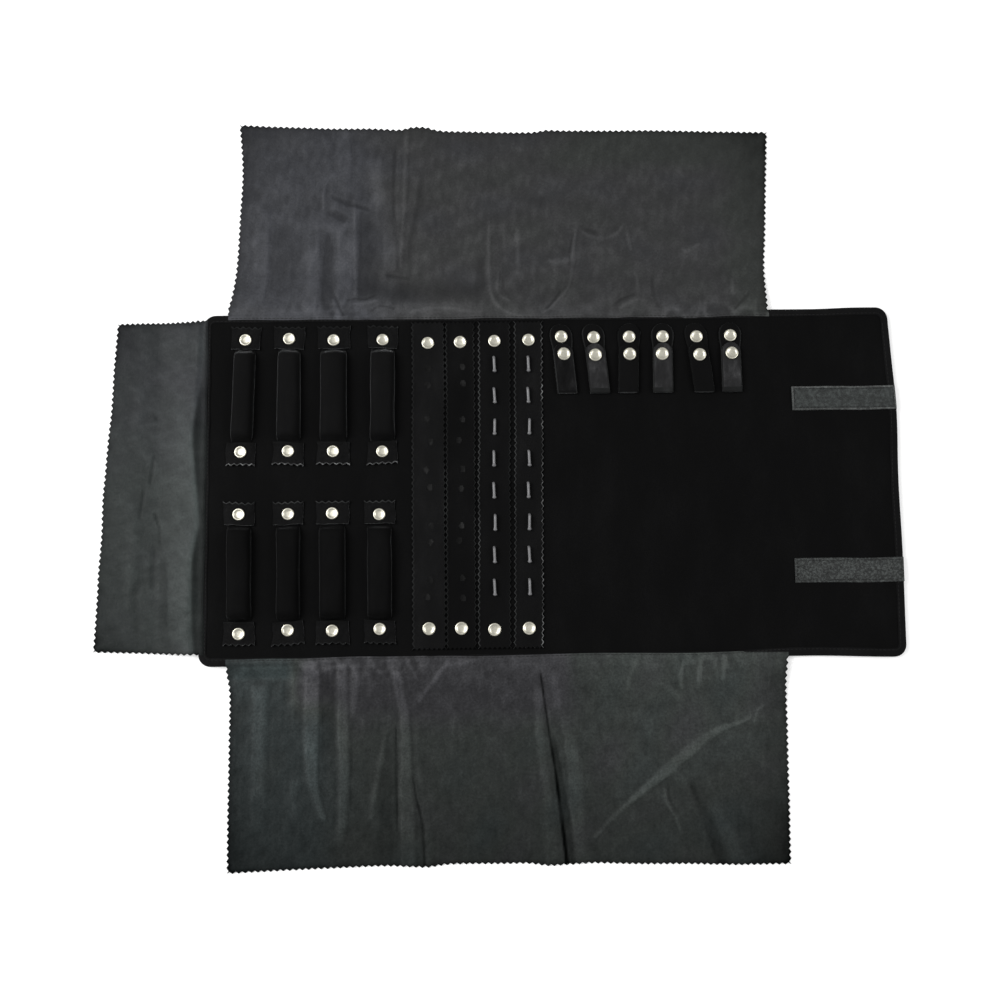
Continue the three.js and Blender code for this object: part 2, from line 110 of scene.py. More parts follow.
def make_stage():
    data = bpy.data.meshes.new("floor")
    square = [(-1, -1), (1, -1), (1, 1), (-1, 1)]
    data.from_pydata([(x * FLOOR_HALF, y * FLOOR_HALF, 0) for x, y in square], [], [(0, 1, 2, 3)])
    white = Material("floor_white").surface({
        "Base Color": (0.92, 0.92, 0.92, 1), "Roughness": 0.9, "Specular IOR Level": 0.1,
        "Emission Color": (1, 1, 1, 1), "Emission Strength": 0.3,
    })
    data.materials.append(white)
    floor = add_object("floor", data)
    floor.location.z = -FLOOR_DROP


def make_lights():
    scene = bpy.context.scene
    for name, place, size, power in LIGHTS:
        data = bpy.data.lights.new(name, "AREA")
        data.shape = "DISK"
        data.size = size
        data.energy = power
        light = add_object(name, data)
        light.location = place
        light.rotation_euler = (-Vector(place)).to_track_quat("-Z", "Y").to_euler()
    scene.world = bpy.data.worlds.new("world")
    scene.world.use_nodes = True
    background = scene.world.node_tree.nodes["Background"]
    background.inputs["Color"].default_value = (1, 1, 1, 1)
    background.inputs["Strength"].default_value = SKY
    scene.view_settings.view_transform = "Standard"
    scene.view_settings.look = "None"


# Materials
def tint(colour, share):
    return tuple(min(1, c * share) for c in colour)


class Material:
    """A new material whose textures lie on the object's own coordinates, in metres."""

    def __init__(self, name):
        self.made = bpy.data.materials.new(name)
        self.made.use_nodes = True
        self.tree = self.made.node_tree
        self.coords = self.node("TexCoord", {}, "Object")

    def feed(self, node, inputs):
        """Sets a node's inputs, each to a value or to another node's output."""
        for socket, value in inputs.items():
            if isinstance(value, bpy.types.NodeSocket):
                self.tree.links.new(value, node.inputs[socket])
            else:
                node.inputs[socket].default_value = value

    def node(self, kind, inputs, output, **settings):
        node = self.tree.nodes.new("ShaderNode" + kind)
        for name, value in settings.items():
            setattr(node, name, value)
        self.feed(node, inputs)
        return node.outputs[output]

    def noise(self, scale, detail, rough, stretch=None):
        coords = self.coords
        if stretch:
            coords = self.node("Mapping", {"Vector": coords, "Scale": stretch}, "Vector")
        inputs = {"Vector": coords, "Scale": scale, "Detail": detail, "Roughness": rough}
        return self.node("TexNoise", inputs, "Fac")

    def cells(self, scale, randomness=1):
        inputs = {"Vector": self.coords, "Scale": scale, "Randomness": randomness}
        return self.node("TexVoronoi", inputs, "Distance")

    def attribute(self, name):
        return self.node("Attribute", {}, "Fac", attribute_name=name)

    def math(self, operation, *values):
        return self.node("Math", dict(enumerate(values)), "Value", operation=operation)

    def ramp(self, fac, *stops):
        """A colour ramp of stops (position, colour)."""
        output = self.node("ValToRGB", {"Fac": fac}, "Color")
        elements = output.node.color_ramp.elements
        while len(elements) < len(stops):
            elements.new(0.5)
        for element, (position, colour) in zip(elements, stops):
            element.position = position
            element.color = (*colour, 1)
        return output

    def shades(self, fac, colour, *stops):
        """A ramp of one colour's shades, with stops (position, share)."""
        return self.ramp(fac, *((position, tint(colour, share)) for position, share in stops))

    def bump(self, height, strength, distance, under=None):
        inputs = {"Height": height, "Strength": strength, "Distance": distance}
        if under is not None:
            inputs["Normal"] = under
        return self.node("Bump", inputs, "Normal")

    def surface(self, inputs):
        self.feed(self.tree.nodes["Principled BSDF"], inputs)
        return self.made


def velvet(name, colour, sheen, patches=0.3, flecks=0.6, scale=34):
    """Short black pile: a fine fuzz, faint brushed patches and a pale sheen where it turns over."""
    new = Material("velvet_" + name)
    brushed = new.noise(scale, 4, 0.6, (1, 0.45, 1))
    pile = new.noise(1500, 3, 0.75)
    mixed = new.math("MULTIPLY_ADD", brushed, patches, new.math("MULTIPLY", pile, flecks))
    middle = 0.5 * (patches + flecks)
    stops = [(middle + off, share) for off, share in ((-0.22, 0.6), (0, 1), (0.12, 1.8), (0.26, 3.4))]
    return new.surface({
        "Base Color": new.shades(mixed, colour, *stops),
        "Normal": new.bump(brushed, 0.3, 0.0012, new.bump(pile, 0.6, 0.0004)),
        "Roughness": 0.8, "Specular IOR Level": 0.05,
        "Sheen Weight": sheen, "Sheen Roughness": 0.2, "Sheen Tint": (0.8, 0.82, 0.84, 1),
    })


# How bright a lining's painted shading makes it, from painted shade in its deepest valleys to painted highlights on
# its highest crests
PAINTED_SHADING_TONES = ((0, 0.12), (0.25, 0.5), (0.5, 1), (0.75, 1.8), (1, 2.8))


def lining(name, colour, cool, warm, grain):
    """Thin lining cloth: a tight weave and slubs, with painted highlights on its creases and painted shade in its
    valleys, speckled.
    """
    new = Material("lining_" + name)
    threads = {"Vector": new.coords, "Scale": 480, "Distortion": 1.6, "Detail": 1}
    weave = new.math("ADD", *(new.node("TexWave", threads, "Fac", bands_direction=way) for way in "XY"))
    mottle = new.noise(520, 3, 0.7)
    slubs = new.noise(420, 2, 0.6, (1, 0.15, 1))
    speckle = new.math("ADD", new.math("MULTIPLY", mottle, grain), 1 - grain / 2)
    shading_amount = new.math("MULTIPLY", new.attribute("painted_shading"), speckle)
    tones = new.ramp(shading_amount, *((at, (tone, tone, tone)) for at, tone in PAINTED_SHADING_TONES))
    hues = new.ramp(new.attribute("cast"), (0.1, cool), (0.5, colour), (0.9, warm))
    inputs = {"Factor": 1, "A": hues, "B": tones}
    mixed = new.node("Mix", inputs, "Result", data_type="RGBA", blend_type="MULTIPLY")
    woven = new.bump(slubs, 0.2, 0.0004, new.bump(weave, 0.3, 0.00014))
    return new.surface({
        "Base Color": mixed, "Normal": new.bump(mottle, 0.35, 0.0006, woven), "Roughness": 0.5,
        # The gloss follows the painted shading too
        "Specular IOR Level": new.math("MULTIPLY", shading_amount, 0.44),
    })


def tape(name, colour, fuzzy):
    """Hook-and-loop tape: rows of stiff hooks, or a matted pile with paler tangles."""
    new = Material(name)
    if fuzzy:
        height, tangles = new.noise(1000, 5, 0.85), new.noise(560, 4, 0.8)
        stops = [(0.36, 0.25), (0.5, 0.9), (0.6, 2.6)]
    else:
        height, tangles = new.cells(850, 0.4), new.noise(380, 3, 0.6)
        stops = [(0.38, 0.55), (0.52, 1), (0.66, 1.8)]
    return new.surface({
        "Base Color": new.shades(tangles, colour, *stops), "Normal": new.bump(height, 0.9, 0.0006),
        "Roughness": 0.6, "Specular IOR Level": 0.3, "Sheen Weight": 0.15, "Sheen Roughness": 0.4,
    })


def metal(name, colour, roughness):
    """Plated metal with fine scuffs."""
    new = Material(name)
    scuffs = new.noise(900, 4, 0.7)
    return new.surface({
        "Base Color": new.shades(scuffs, colour, (0.3, 0.82), (0.6, 1), (0.8, 1.1)),
        "Normal": new.bump(scuffs, 0.08, 0.0002), "Metallic": 1,
        "Roughness": new.math("MULTIPLY_ADD", scuffs, 0.16, roughness - 0.08),
    })


def plastic(name, colour, roughness=0.3):
    """Moulded plastic or waxed thread with a soft gloss."""
    new = Material(name)
    cloud = new.noise(500, 3, 0.6)
    return new.surface({
        "Base Color": new.shades(cloud, colour, (0.3, 0.8), (0.7, 1.15)),
        "Normal": new.bump(cloud, 0.1, 0.0002), "Roughness": roughness,
    })


def foam(name, colour):
    """Open-cell padding."""
    new = Material(name)
    cells = new.cells(900)
    return new.surface({
        "Base Color": new.shades(cells, colour, (0.1, 0.6), (0.6, 1)),
        "Normal": new.bump(cells, 0.6, 0.0005), "Roughness": 0.95,
    })


BLACK = (0.0028, 0.0028, 0.0029)
VELVET = velvet("panel", BLACK, 0.12, 0.3, 0.35)
# The two rows of bars are one velvet in a lighter and a darker copy: painted shading for how each row's nap catches
# the light
BAR_VELVETS = [velvet("bars_upper", tint(BLACK, 1.5), 0.7, 0.35, 0.35)] * 4
BAR_VELVETS += [velvet("bars_lower", tint(BLACK, 0.9), 0.3, 0.35, 0.35)] * 4
TAB_VELVET = velvet("tabs", tint(BLACK, 1.7), 0.8, 0.4, 0.8)
# Cut velvet edges, paler where the backing shows, also used as painted highlights along tube edges, loop folds and
# pinked ends; the dim one is painted shade on the pale loops
CUT_EDGE_AND_HIGHLIGHT = velvet("cut_edge_and_highlight", (0.028, 0.029, 0.029), 0.8, 0.8, 0.5)
PALE_CUT_EDGE_AND_HIGHLIGHT = velvet("pale_cut_edge_and_highlight", (0.055, 0.056, 0.056), 0.9, 1.4, 0.4, 240)
FAINT_CUT_EDGE_AND_HIGHLIGHT = velvet("faint_cut_edge_and_highlight", (0.0048, 0.005, 0.005), 0.4, 0.8, 0.5)
DIM_CUT_EDGE_HIGHLIGHT_AND_SHADE = velvet("dim_cut_edge_highlight_and_shade", (0.013, 0.0135, 0.0135), 0.6, 0.8, 0.5)
# The strips are one velvet in lighter and darker copies: painted shading for how each strip's nap catches the light,
# with patches and flecks of their own
STRIP_VELVETS = [
    velvet("strip_light", tint(BLACK, 2.0), 0.4, 0.5, 0.6),
    velvet("strip_dark", tint(BLACK, 1.05), 0.3, 0.35, 0.4),
    velvet("strip_plain", tint(BLACK, 1.3), 0.3, 0.3, 0.4),
    velvet("strip_brushed", tint(BLACK, 1.75), 0.45, 0.5, 0.8),
]
LOOP_DARK = velvet("loop_dark", tint(BLACK, 1.25), 0.8, 0.3, 0.4)
LOOP_MID = velvet("loop_mid", tint(BLACK, 2.1), 0.9, 1.0, 0.5, 130)
# The same loop velvet painted pale: a painted sheen where the strap bends
LOOP_PAINTED_SHEEN = velvet("loop_painted_sheen", tint(BLACK, 7.6), 1.0, 0.9, 0.5, 110)
HOLE_RIM = velvet("hole_rim", (0.0095, 0.0095, 0.0095), 0.6, 1.0, 0.4, 120)
# The binding is painted lighter than the panel: partly its own colour, partly a painted sheen along its roll
BINDING = velvet("binding", tint(BLACK, 1.9), 0.5, 0.4, 0.4)
COVER = velvet("cover", tint(BLACK, 1.1), 0.3)
# One lining cloth in three copies: the top flap's painted lighter and the left and bottom flaps' painted darker, for
# how the light falls on each; their hues differ too
TOP_LINING = lining("top", (0.0262, 0.0266, 0.0274), (0.0236, 0.0248, 0.0290), (0.0238, 0.0262, 0.0246), 0.65)
SIDE_LINING = lining("side", (0.0126, 0.0160, 0.0164), (0.0128, 0.0147, 0.0170), (0.0120, 0.0162, 0.0152), 0.6)
BOTTOM_LINING = lining("bottom", (0.0158, 0.0190, 0.0172), (0.0132, 0.0186, 0.0188), (0.0186, 0.0186, 0.0208), 1.1)
HOOK_TAPE = tape("hook_side", (0.026, 0.030, 0.029), False)
LOOP_TAPE = tape("loop_side", (0.026, 0.029, 0.028), True)
TAPE_EDGE = tape("tape_edge", (0.06, 0.064, 0.062), False)
CAP_METAL = metal("cap_nickel", (0.79, 0.765, 0.65), 0.38)
STUD_METAL = metal("stud_nickel", (0.7, 0.69, 0.65), 0.3)
HOOK_PLASTIC = plastic("hook_grey", (0.16, 0.16, 0.165))
FOAM = foam("padding_foam", (0.3, 0.3, 0.28))
THREAD = plastic("black_thread", (0.004, 0.004, 0.0042), 0.8)


# Pieces
def make_mesh(name, points, faces, material, sharp=50, *patches):
    """A mesh piece from points in millimetres. Patches are (material, faces) with a material of their own."""
    data = bpy.data.meshes.new(name)
    data.from_pydata([tuple(p) for p in np.asarray(points, float) * MM], [], [tuple(f) for f in faces])
    for slot, (patch, patch_faces) in enumerate([(material, []), *patches]):
        data.materials.append(patch)
        for face in patch_faces:
            data.polygons[face].material_index = slot
    data.validate()
    data.shade_smooth()
    data.set_sharp_from_angle(angle=math.radians(sharp))
    return add_object(name, data)


def own(piece, slot, *nodes, body=None):
    """Hides the CAD nodes that a piece replaces and hangs it on the body that it rides. The slot is not used."""
    if nodes:
        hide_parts(*nodes)
    if body:
        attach(piece, body)
    return piece


def bend(piece, first, second, start, end):
    """Bakes a piece's transform into its mesh and does not bend it. First and second are not used; start and end are
    turned into metres and then not used.
    """
    start, end = (tuple(c * MM for c in place) for place in (start, end))
    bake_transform(piece)


def lay_sheet(piece, flat):
    """Turns a cloth's flat size into metres and does nothing more with it. The piece is not used."""
    flat = tuple(size * MM for size in flat)


# Shapes
def circle(count):
    """The cosines and sines of a full turn in equal steps."""
    turns = [2 * math.pi * k / count for k in range(count)]
    return [(math.cos(a), math.sin(a)) for a in turns]


def signed_power(value, power):
    return math.copysign(abs(value) ** power, value)


def unit_grid(columns, rows, low=0):
    """Shares across, from low to 1, and along, from 0 to 1."""
    return np.meshgrid(np.linspace(low, 1, columns + 1), np.linspace(0, 1, rows + 1), indexing="ij")


def shell(upper, lower):
    """A closed skin between two grids of points. Face 2 * (i * rows + j) is the upper one of cell i, j."""
    across, along = upper.shape[:2]
    offset = across * along
    faces = []
    for i in range(across - 1):
        for a in range(i * along, i * along + along - 1):
            b = a + along
            faces.append((a, b, b + 1, a + 1))
            faces.append((a + offset, a + 1 + offset, b + 1 + offset, b + offset))
    rim = [(i, 0) for i in range(across)] + [(across - 1, j) for j in range(1, along)]
    rim += [(i, along - 1) for i in range(across - 2, -1, -1)] + [(0, j) for j in range(along - 2, 0, -1)]
    around = [i * along + j for i, j in rim]
    for a, b in zip(around, around[1:] + around[:1]):
        faces.append((b, a, a + offset, b + offset))
    return np.concatenate([upper.reshape(-1, 3), lower.reshape(-1, 3)]), faces


def cloth(x, y, z, thickness, lowest, flip=False):
    """A sheet of cloth below a grid of places, nowhere lower than the lowest place."""
    upper = np.stack([x, y, z], axis=2)
    lower = np.stack([x, y, np.maximum(z - thickness, lowest)], axis=2)
    return shell(upper[::-1], lower[::-1]) if flip else shell(upper, lower)


def cell_faces(columns, rows, width):
    """The upper faces of a band of cells round a grid's edge."""
    picked = [(i, j) for i in range(columns) for j in (*range(width), *range(rows - width, rows))]
    picked += [(i, j) for i in (*range(width), *range(columns - width, columns)) for j in range(rows)]
    return [2 * (i * rows + j) for i, j in picked]


def grid_normals(grid):
    normal = np.cross(np.gradient(grid, axis=0), np.gradient(grid, axis=1))
    return normal / np.maximum(np.linalg.norm(normal, axis=2, keepdims=True), 1e-9)


def sweep(sections, closed=False):
    """A closed skin over a row of rings, with flat ends, or over a ring of rings."""
    sections = np.asarray(sections, float)
    count, around = sections.shape[:2]
    faces = []
    for i in range(count if closed else count - 1):
        onward = around if i + 1 < count else -i * around
        for j in range(around):
            a, b = i * around + j, i * around + (j + 1) % around
            faces.append((a, b, b + onward, a + onward))
    if not closed:
        faces.append(range(around - 1, -1, -1))
        faces.append(range((count - 1) * around, count * around))
    return list(sections.reshape(-1, 3)), faces


def lathe(profile, sides):
    """A revolved skin: profile is (radius, height), from the axis to the axis."""
    points = [(0, 0, profile[0][1]), (0, 0, profile[-1][1])]
    inner = profile[1:-1]
    for radius, height in inner:
        points += [(radius * cos, radius * sin, height) for cos, sin in circle(sides)]
    last = 2 + (len(inner) - 1) * sides
    faces = []
    for k in range(sides):
        n = (k + 1) % sides
        faces.append((0, 2 + n, 2 + k))
        for a in range(2, last, sides):
            faces.append((a + k, a + n, a + sides + n, a + sides + k))
        faces.append((1, last + k, last + n))
    return np.array(points, float), faces


def curve(places, step=4.0):
    """A smooth line through a few places."""
    places = np.array(places, float)
    places = np.concatenate([[2 * places[0] - places[1]], places, [2 * places[-1] - places[-2]]])
    line = []
    for a, b, c, d in zip(places, places[1:], places[2:], places[3:]):
        count = max(1, int(np.linalg.norm(c - b) / step))
        for t in np.arange(count) / count:
            turn = (2 * a - 5 * b + 4 * c - d) * t**2 + (3 * b - a - 3 * c + d) * t**3
            line.append((2 * b + (c - a) * t + turn) / 2)
    return np.array(line + [places[-2]])


def smooth(t):
    t = np.clip(t, 0, 1)
    return t * t * (3 - 2 * t)


def bell(x, middle, spread):
    return np.exp(-(((x - middle) / spread) ** 2))


def ripple(x, y, seed, wavelength, waves=7):
    """A smooth random surface between about -1 and 1."""
    draw = np.random.RandomState(seed)
    total = 0
    for _ in range(waves):
        angle = draw.uniform(0, 2 * math.pi)
        length = wavelength * draw.uniform(0.6, 1.7)
        phase = draw.uniform(0, 2 * math.pi)
        total = total + np.sin(2 * math.pi * (x * math.cos(angle) + y * math.sin(angle)) / length + phase)
    return total / math.sqrt(waves) / 1.4


def leaning(x, start, span, offsets):
    """A line's x at any y: off from x by two amounts, at its start and a span further on."""
    return lambda y: x + offsets[0] + (offsets[1] - offsets[0]) * ((y - start) / span)


# Stitches
STITCH_PITCH = 3.4
STITCH_SIDES = 6
# A stitch's places: share of its length, lift and size, both as shares of its radius
STITCH_PROFILE = ((0.0, -0.3, 0.5), (0.2, 0.12, 1.0), (0.8, 0.12, 1.0), (1.0, -0.3, 0.5))


def stitch(start, end, z, radius):
    """One thread stitch between two places, sunk at both ends."""
    along = (end - start) / max(np.linalg.norm(end - start), 1e-6)
    across = np.array([-along[1], along[0]])
    rings = []
    for share, lift, size in STITCH_PROFILE:
        middle = start + (end - start) * share
        rings.append([
            (*(middle + across * (cos * radius * size)), z + lift * radius * 2 + sin * radius * size)
            for cos, sin in circle(STITCH_SIDES)
        ])
    return sweep(rings)


def make_stitches(name, places, radius, shift=None):
    """Stitches between one place and the next, with a gap after each."""
    points, faces = [], []
    for (a, az), (b, bz) in zip(places, places[1:]):
        one_points, one_faces = stitch(a + (b - a) * 0.1, a + (b - a) * 0.86, (az + bz) / 2, radius)
        faces += [[k + len(points) for k in face] for face in one_faces]
        points += one_points
    return make_mesh(name + "_stitches", shift(points) if shift else points, faces, THREAD)


# Padded panel
CORNER_RADIUS = 10
CORNER_PLACES = 9
BINDING_WIDTH = 6.5
BINDING_STEP = 2.5
BINDING_SEAM = 5.5
# How far the closing fold reaches to the left and right of its line, and how far its fine places do
FOLD_BEFORE, FOLD_AFTER = 9, 7
FOLD_FINE = 14
# Places across a ply, and those along it by its ends and between them
PLY_SHARES = np.linspace(-1, 1, 97)
PLY_ENDS = np.array([0, 0.3, 0.8, 1.6, 2.7, 4, 6, 9])
PLY_BEFORE, PLY_AFTER = 150, 26
BINDING_PROFILE = [
    (6.9, -0.2), (6.6, 0.2), (5.6, 0.44), (4.4, 0.6), (3.2, 0.66), (2.2, 0.56), (1.3, 0.2), (0.55, -0.5),
    (0.1, -1.4), (0.0, -2.4), (0.25, -4.2), (1.3, -4.95), (3.2, -5.0), (6.6, -5.0), (6.6, -4.4), (2.0, -4.2),
    (1.1, -2.5), (2.0, -0.5), (6.6, -0.4),
]


def relaxed(points):
    """The closing end lies a little out of true: its right edge bows out and its long edges sit higher."""
    points = np.array(points, float)
    x, y = points[..., 0], points[..., 1]
    toward = smooth((x - 160) / (RIGHT - 160))
    bow = 3.0 * bell(y, 56, 46) + 1.5 * bell(y, -52, 62) - 0.6 * smooth((y - 110) / 34)
    top_shift = 1.4 * smooth((x - 140) / 50) + 1.1 * smooth((x - 220) / 40)
    bottom_shift = 1.9 * smooth((x - 140) / 50) - 1.9 * smooth((x - 205) / 75)
    share = (y / TOP + 1) / 2
    points[..., 0] = x + toward * bow
    points[..., 1] = y + bottom_shift * (1 - share) + top_shift * share
    return points


def bend_closing(piece):
    """Passes the closing fold's places to bend, given from the moving end."""
    bend(piece, "closing_end", "root", (FOLD_X + FOLD_AFTER, 0, 0), (FOLD_X - FOLD_BEFORE, 0, 0))


def panel_columns(inset):
    """Places along the panel: close together at its ends and over the closing fold."""
    left = LEFT + inset + PLY_ENDS
    right = (RIGHT - inset - PLY_ENDS)[::-1]
    fold = np.arange(FOLD_X - FOLD_FINE, FOLD_X + FOLD_FINE + 0.5, 1.0)
    before = np.linspace(left[-1], fold[0], PLY_BEFORE)[1:-1]
    after = np.linspace(fold[-1], right[0], PLY_AFTER)[1:-1]
    return np.concatenate([left, before, fold, after, right])


def make_ply(name, inset, low, high, material, slot, nodes, rise=None):
    """One sheet of the panel and its closing end, with rounded corners, inset from the edge."""
    columns = panel_columns(inset)
    radius = CORNER_RADIUS - inset
    cut = np.clip(radius - np.minimum(columns - (LEFT + inset), (RIGHT - inset) - columns), 0, radius)
    half = (TOP - inset) - (radius - np.sqrt(np.maximum(radius**2 - cut**2, 0)))
    x = np.repeat(columns[:, None], len(PLY_SHARES), axis=1)
    y = half[:, None] * PLY_SHARES[None, :]
    upper = np.stack([x, y, high + (rise(x, y) if rise else 0 * x)], axis=2)
    lower = np.stack([x, y, 0 * x + low], axis=2)
    piece = own(make_mesh(name, *shell(relaxed(upper), relaxed(lower)), material, 60), slot, *nodes)
    bend_closing(piece)


def velvet_rise(x, y):
    """The velvet dips beside the binding and is a little uneven."""
    edge = np.minimum(np.minimum(x - LEFT, RIGHT - x), np.minimum(y - BOTTOM, TOP - y)) - BINDING_WIDTH
    dip = -0.4 * np.exp(-np.clip(edge, 0, 60) / 2.2)
    return dip + 0.14 * ripple(x, y, 11, 70) + 0.05 * ripple(x, y, 12, 18)


def perimeter(step, folds=()):
    """Points round the panel's edge with their outward directions, anticlockwise; folds adds places along x."""
    right, top = RIGHT - CORNER_RADIUS, TOP - CORNER_RADIUS
    left, bottom = LEFT + CORNER_RADIUS, BOTTOM + CORNER_RADIUS
    centres = [np.array(centre) for centre in ((right, top), (left, top), (left, bottom), (right, bottom))]
    points = []
    for k, centre in enumerate(centres):
        for a in np.linspace(90 * k, 90 * k + 90, CORNER_PLACES):
            out = np.array([math.cos(math.radians(a)), math.sin(math.radians(a))])
            points.append((centre + out * CORNER_RADIUS, out))
        start, end = points[-1][0], centres[(k + 1) % 4] + out * CORNER_RADIUS
        count = max(2, int(np.linalg.norm(end - start) / step))
        shares = np.arange(1, count) / count
        if len(folds) and abs(out[1]) > 0.5:
            shares = np.union1d(shares, (folds - start[0]) / (end[0] - start[0]))
        points += [(start + (end - start) * share, out) for share in shares]
    return points


def make_binding():
    sections = []
    fold = np.arange(FOLD_X - FOLD_BEFORE - 0.5, FOLD_X + FOLD_AFTER + 1, 0.5)
    for place, out in perimeter(BINDING_STEP, fold):
        wave = 0.3 * ripple(place[0], place[1], 5, 24)
        ring = []
        for inward, height in BINDING_PROFILE:
            lift = max(-SEAT, height + (0.25 * wave if height > -1 else 0))
            ring.append((*(place - out * (inward + wave * (inward > 5))), SEAT + lift))
        sections.append(ring)
    piece = make_mesh("panel_binding", *sweep(relaxed(sections), closed=True), BINDING, 70)
    bend_closing(own(piece, "binding", "edge_binding", "closing_end_binding"))
    places = [(place - out * BINDING_SEAM, SEAT + 0.4) for place, out in perimeter(STITCH_PITCH)]
    bend_closing(own(make_stitches("binding", places, 0.17, shift=relaxed), "binding"))


def make_panel():
    nodes = ["velvet_lining", "closing_end_lining"]
    make_ply("panel_velvet", 3.4, SEAT - 0.95, SEAT - 0.05, VELVET, "velvet", nodes, velvet_rise)
    nodes = ["padding", "closing_end_padding"]
    make_ply("panel_padding", 2.2, 1.5, SEAT - 1.25, FOAM, "padding_foam", nodes)
    nodes = ["outer_cover", "closing_end_cover"]
    make_ply("panel_cover", 3.4, 0.45, 1.35, COVER, "cover_cloth", nodes)
    make_binding()


# Flaps
TOOTH = 5.0
TOOTH_DEPTH = 1.7
TOOTH_CELLS = 4
CLOTH = 0.6
TABLE_LIFT = 0.5
HEM_STITCH = 1.3
# Where a flap's fold starts on the panel and ends beyond its edge
HEM_BEND = (-3.5, 8)


def tooth_cells(length):
    """How many cells of cloth go along a pinked edge."""
    return TOOTH_CELLS * int(round(length / TOOTH))


def tooth_cut(cells):
    """How far each point of a pinked edge is cut back."""
    half = TOOTH_CELLS / 2
    return np.abs((np.arange(cells + 1) + TOOTH_CELLS // 2) % TOOTH_CELLS - half) / half * TOOTH_DEPTH


def crease(u, v, places, width, soft, fade):
    """A band from 0 to 1 along a line. Its two sides, left and right of the line's way, soften on their own."""
    line = curve(places)
    reach = max(width) / 2 + max(soft) + 2
    low, high = line.min(axis=0) - reach, line.max(axis=0) + reach
    inside = (u > low[0]) & (u < high[0]) & (v > low[1]) & (v < high[1])
    whole = np.zeros_like(u)
    u, v = u[inside], v[inside]
    nearest, off, at = np.full(u.shape, np.inf), 0 * u, 0 * u
    run = 0.0
    for start, end in zip(line, line[1:]):
        length = np.linalg.norm(end - start)
        along = (end - start) / length
        t = (u - start[0]) * along[0] + (v - start[1]) * along[1]
        side = (u - start[0]) * along[1] - (v - start[1]) * along[0]
        held = np.clip(t, 0, length)
        away = np.hypot(t - held, side)
        closer = away < nearest
        nearest = np.where(closer, away, nearest)
        off = np.where(closer, np.copysign(away, side), off)
        at = np.where(closer, run + held, at)
        run += length
    half = np.interp(at, np.linspace(0, run, len(width)), np.array(width) / 2)
    half = half + 0.25 * ripple(at, 0 * at, len(line), 17)
    band = smooth((off + half) / (2 * soft[0]) + 0.5) * smooth((half - off) / (2 * soft[1]) + 0.5)
    for distance, length in ((at, fade[0]), (run - at, fade[1])):
        if length:
            band = band * smooth(distance / length)
    whole[inside] = band * (1 + 0.25 * ripple(at, 0 * at, int(abs(line[0][0])) + 1, 30))
    return whole


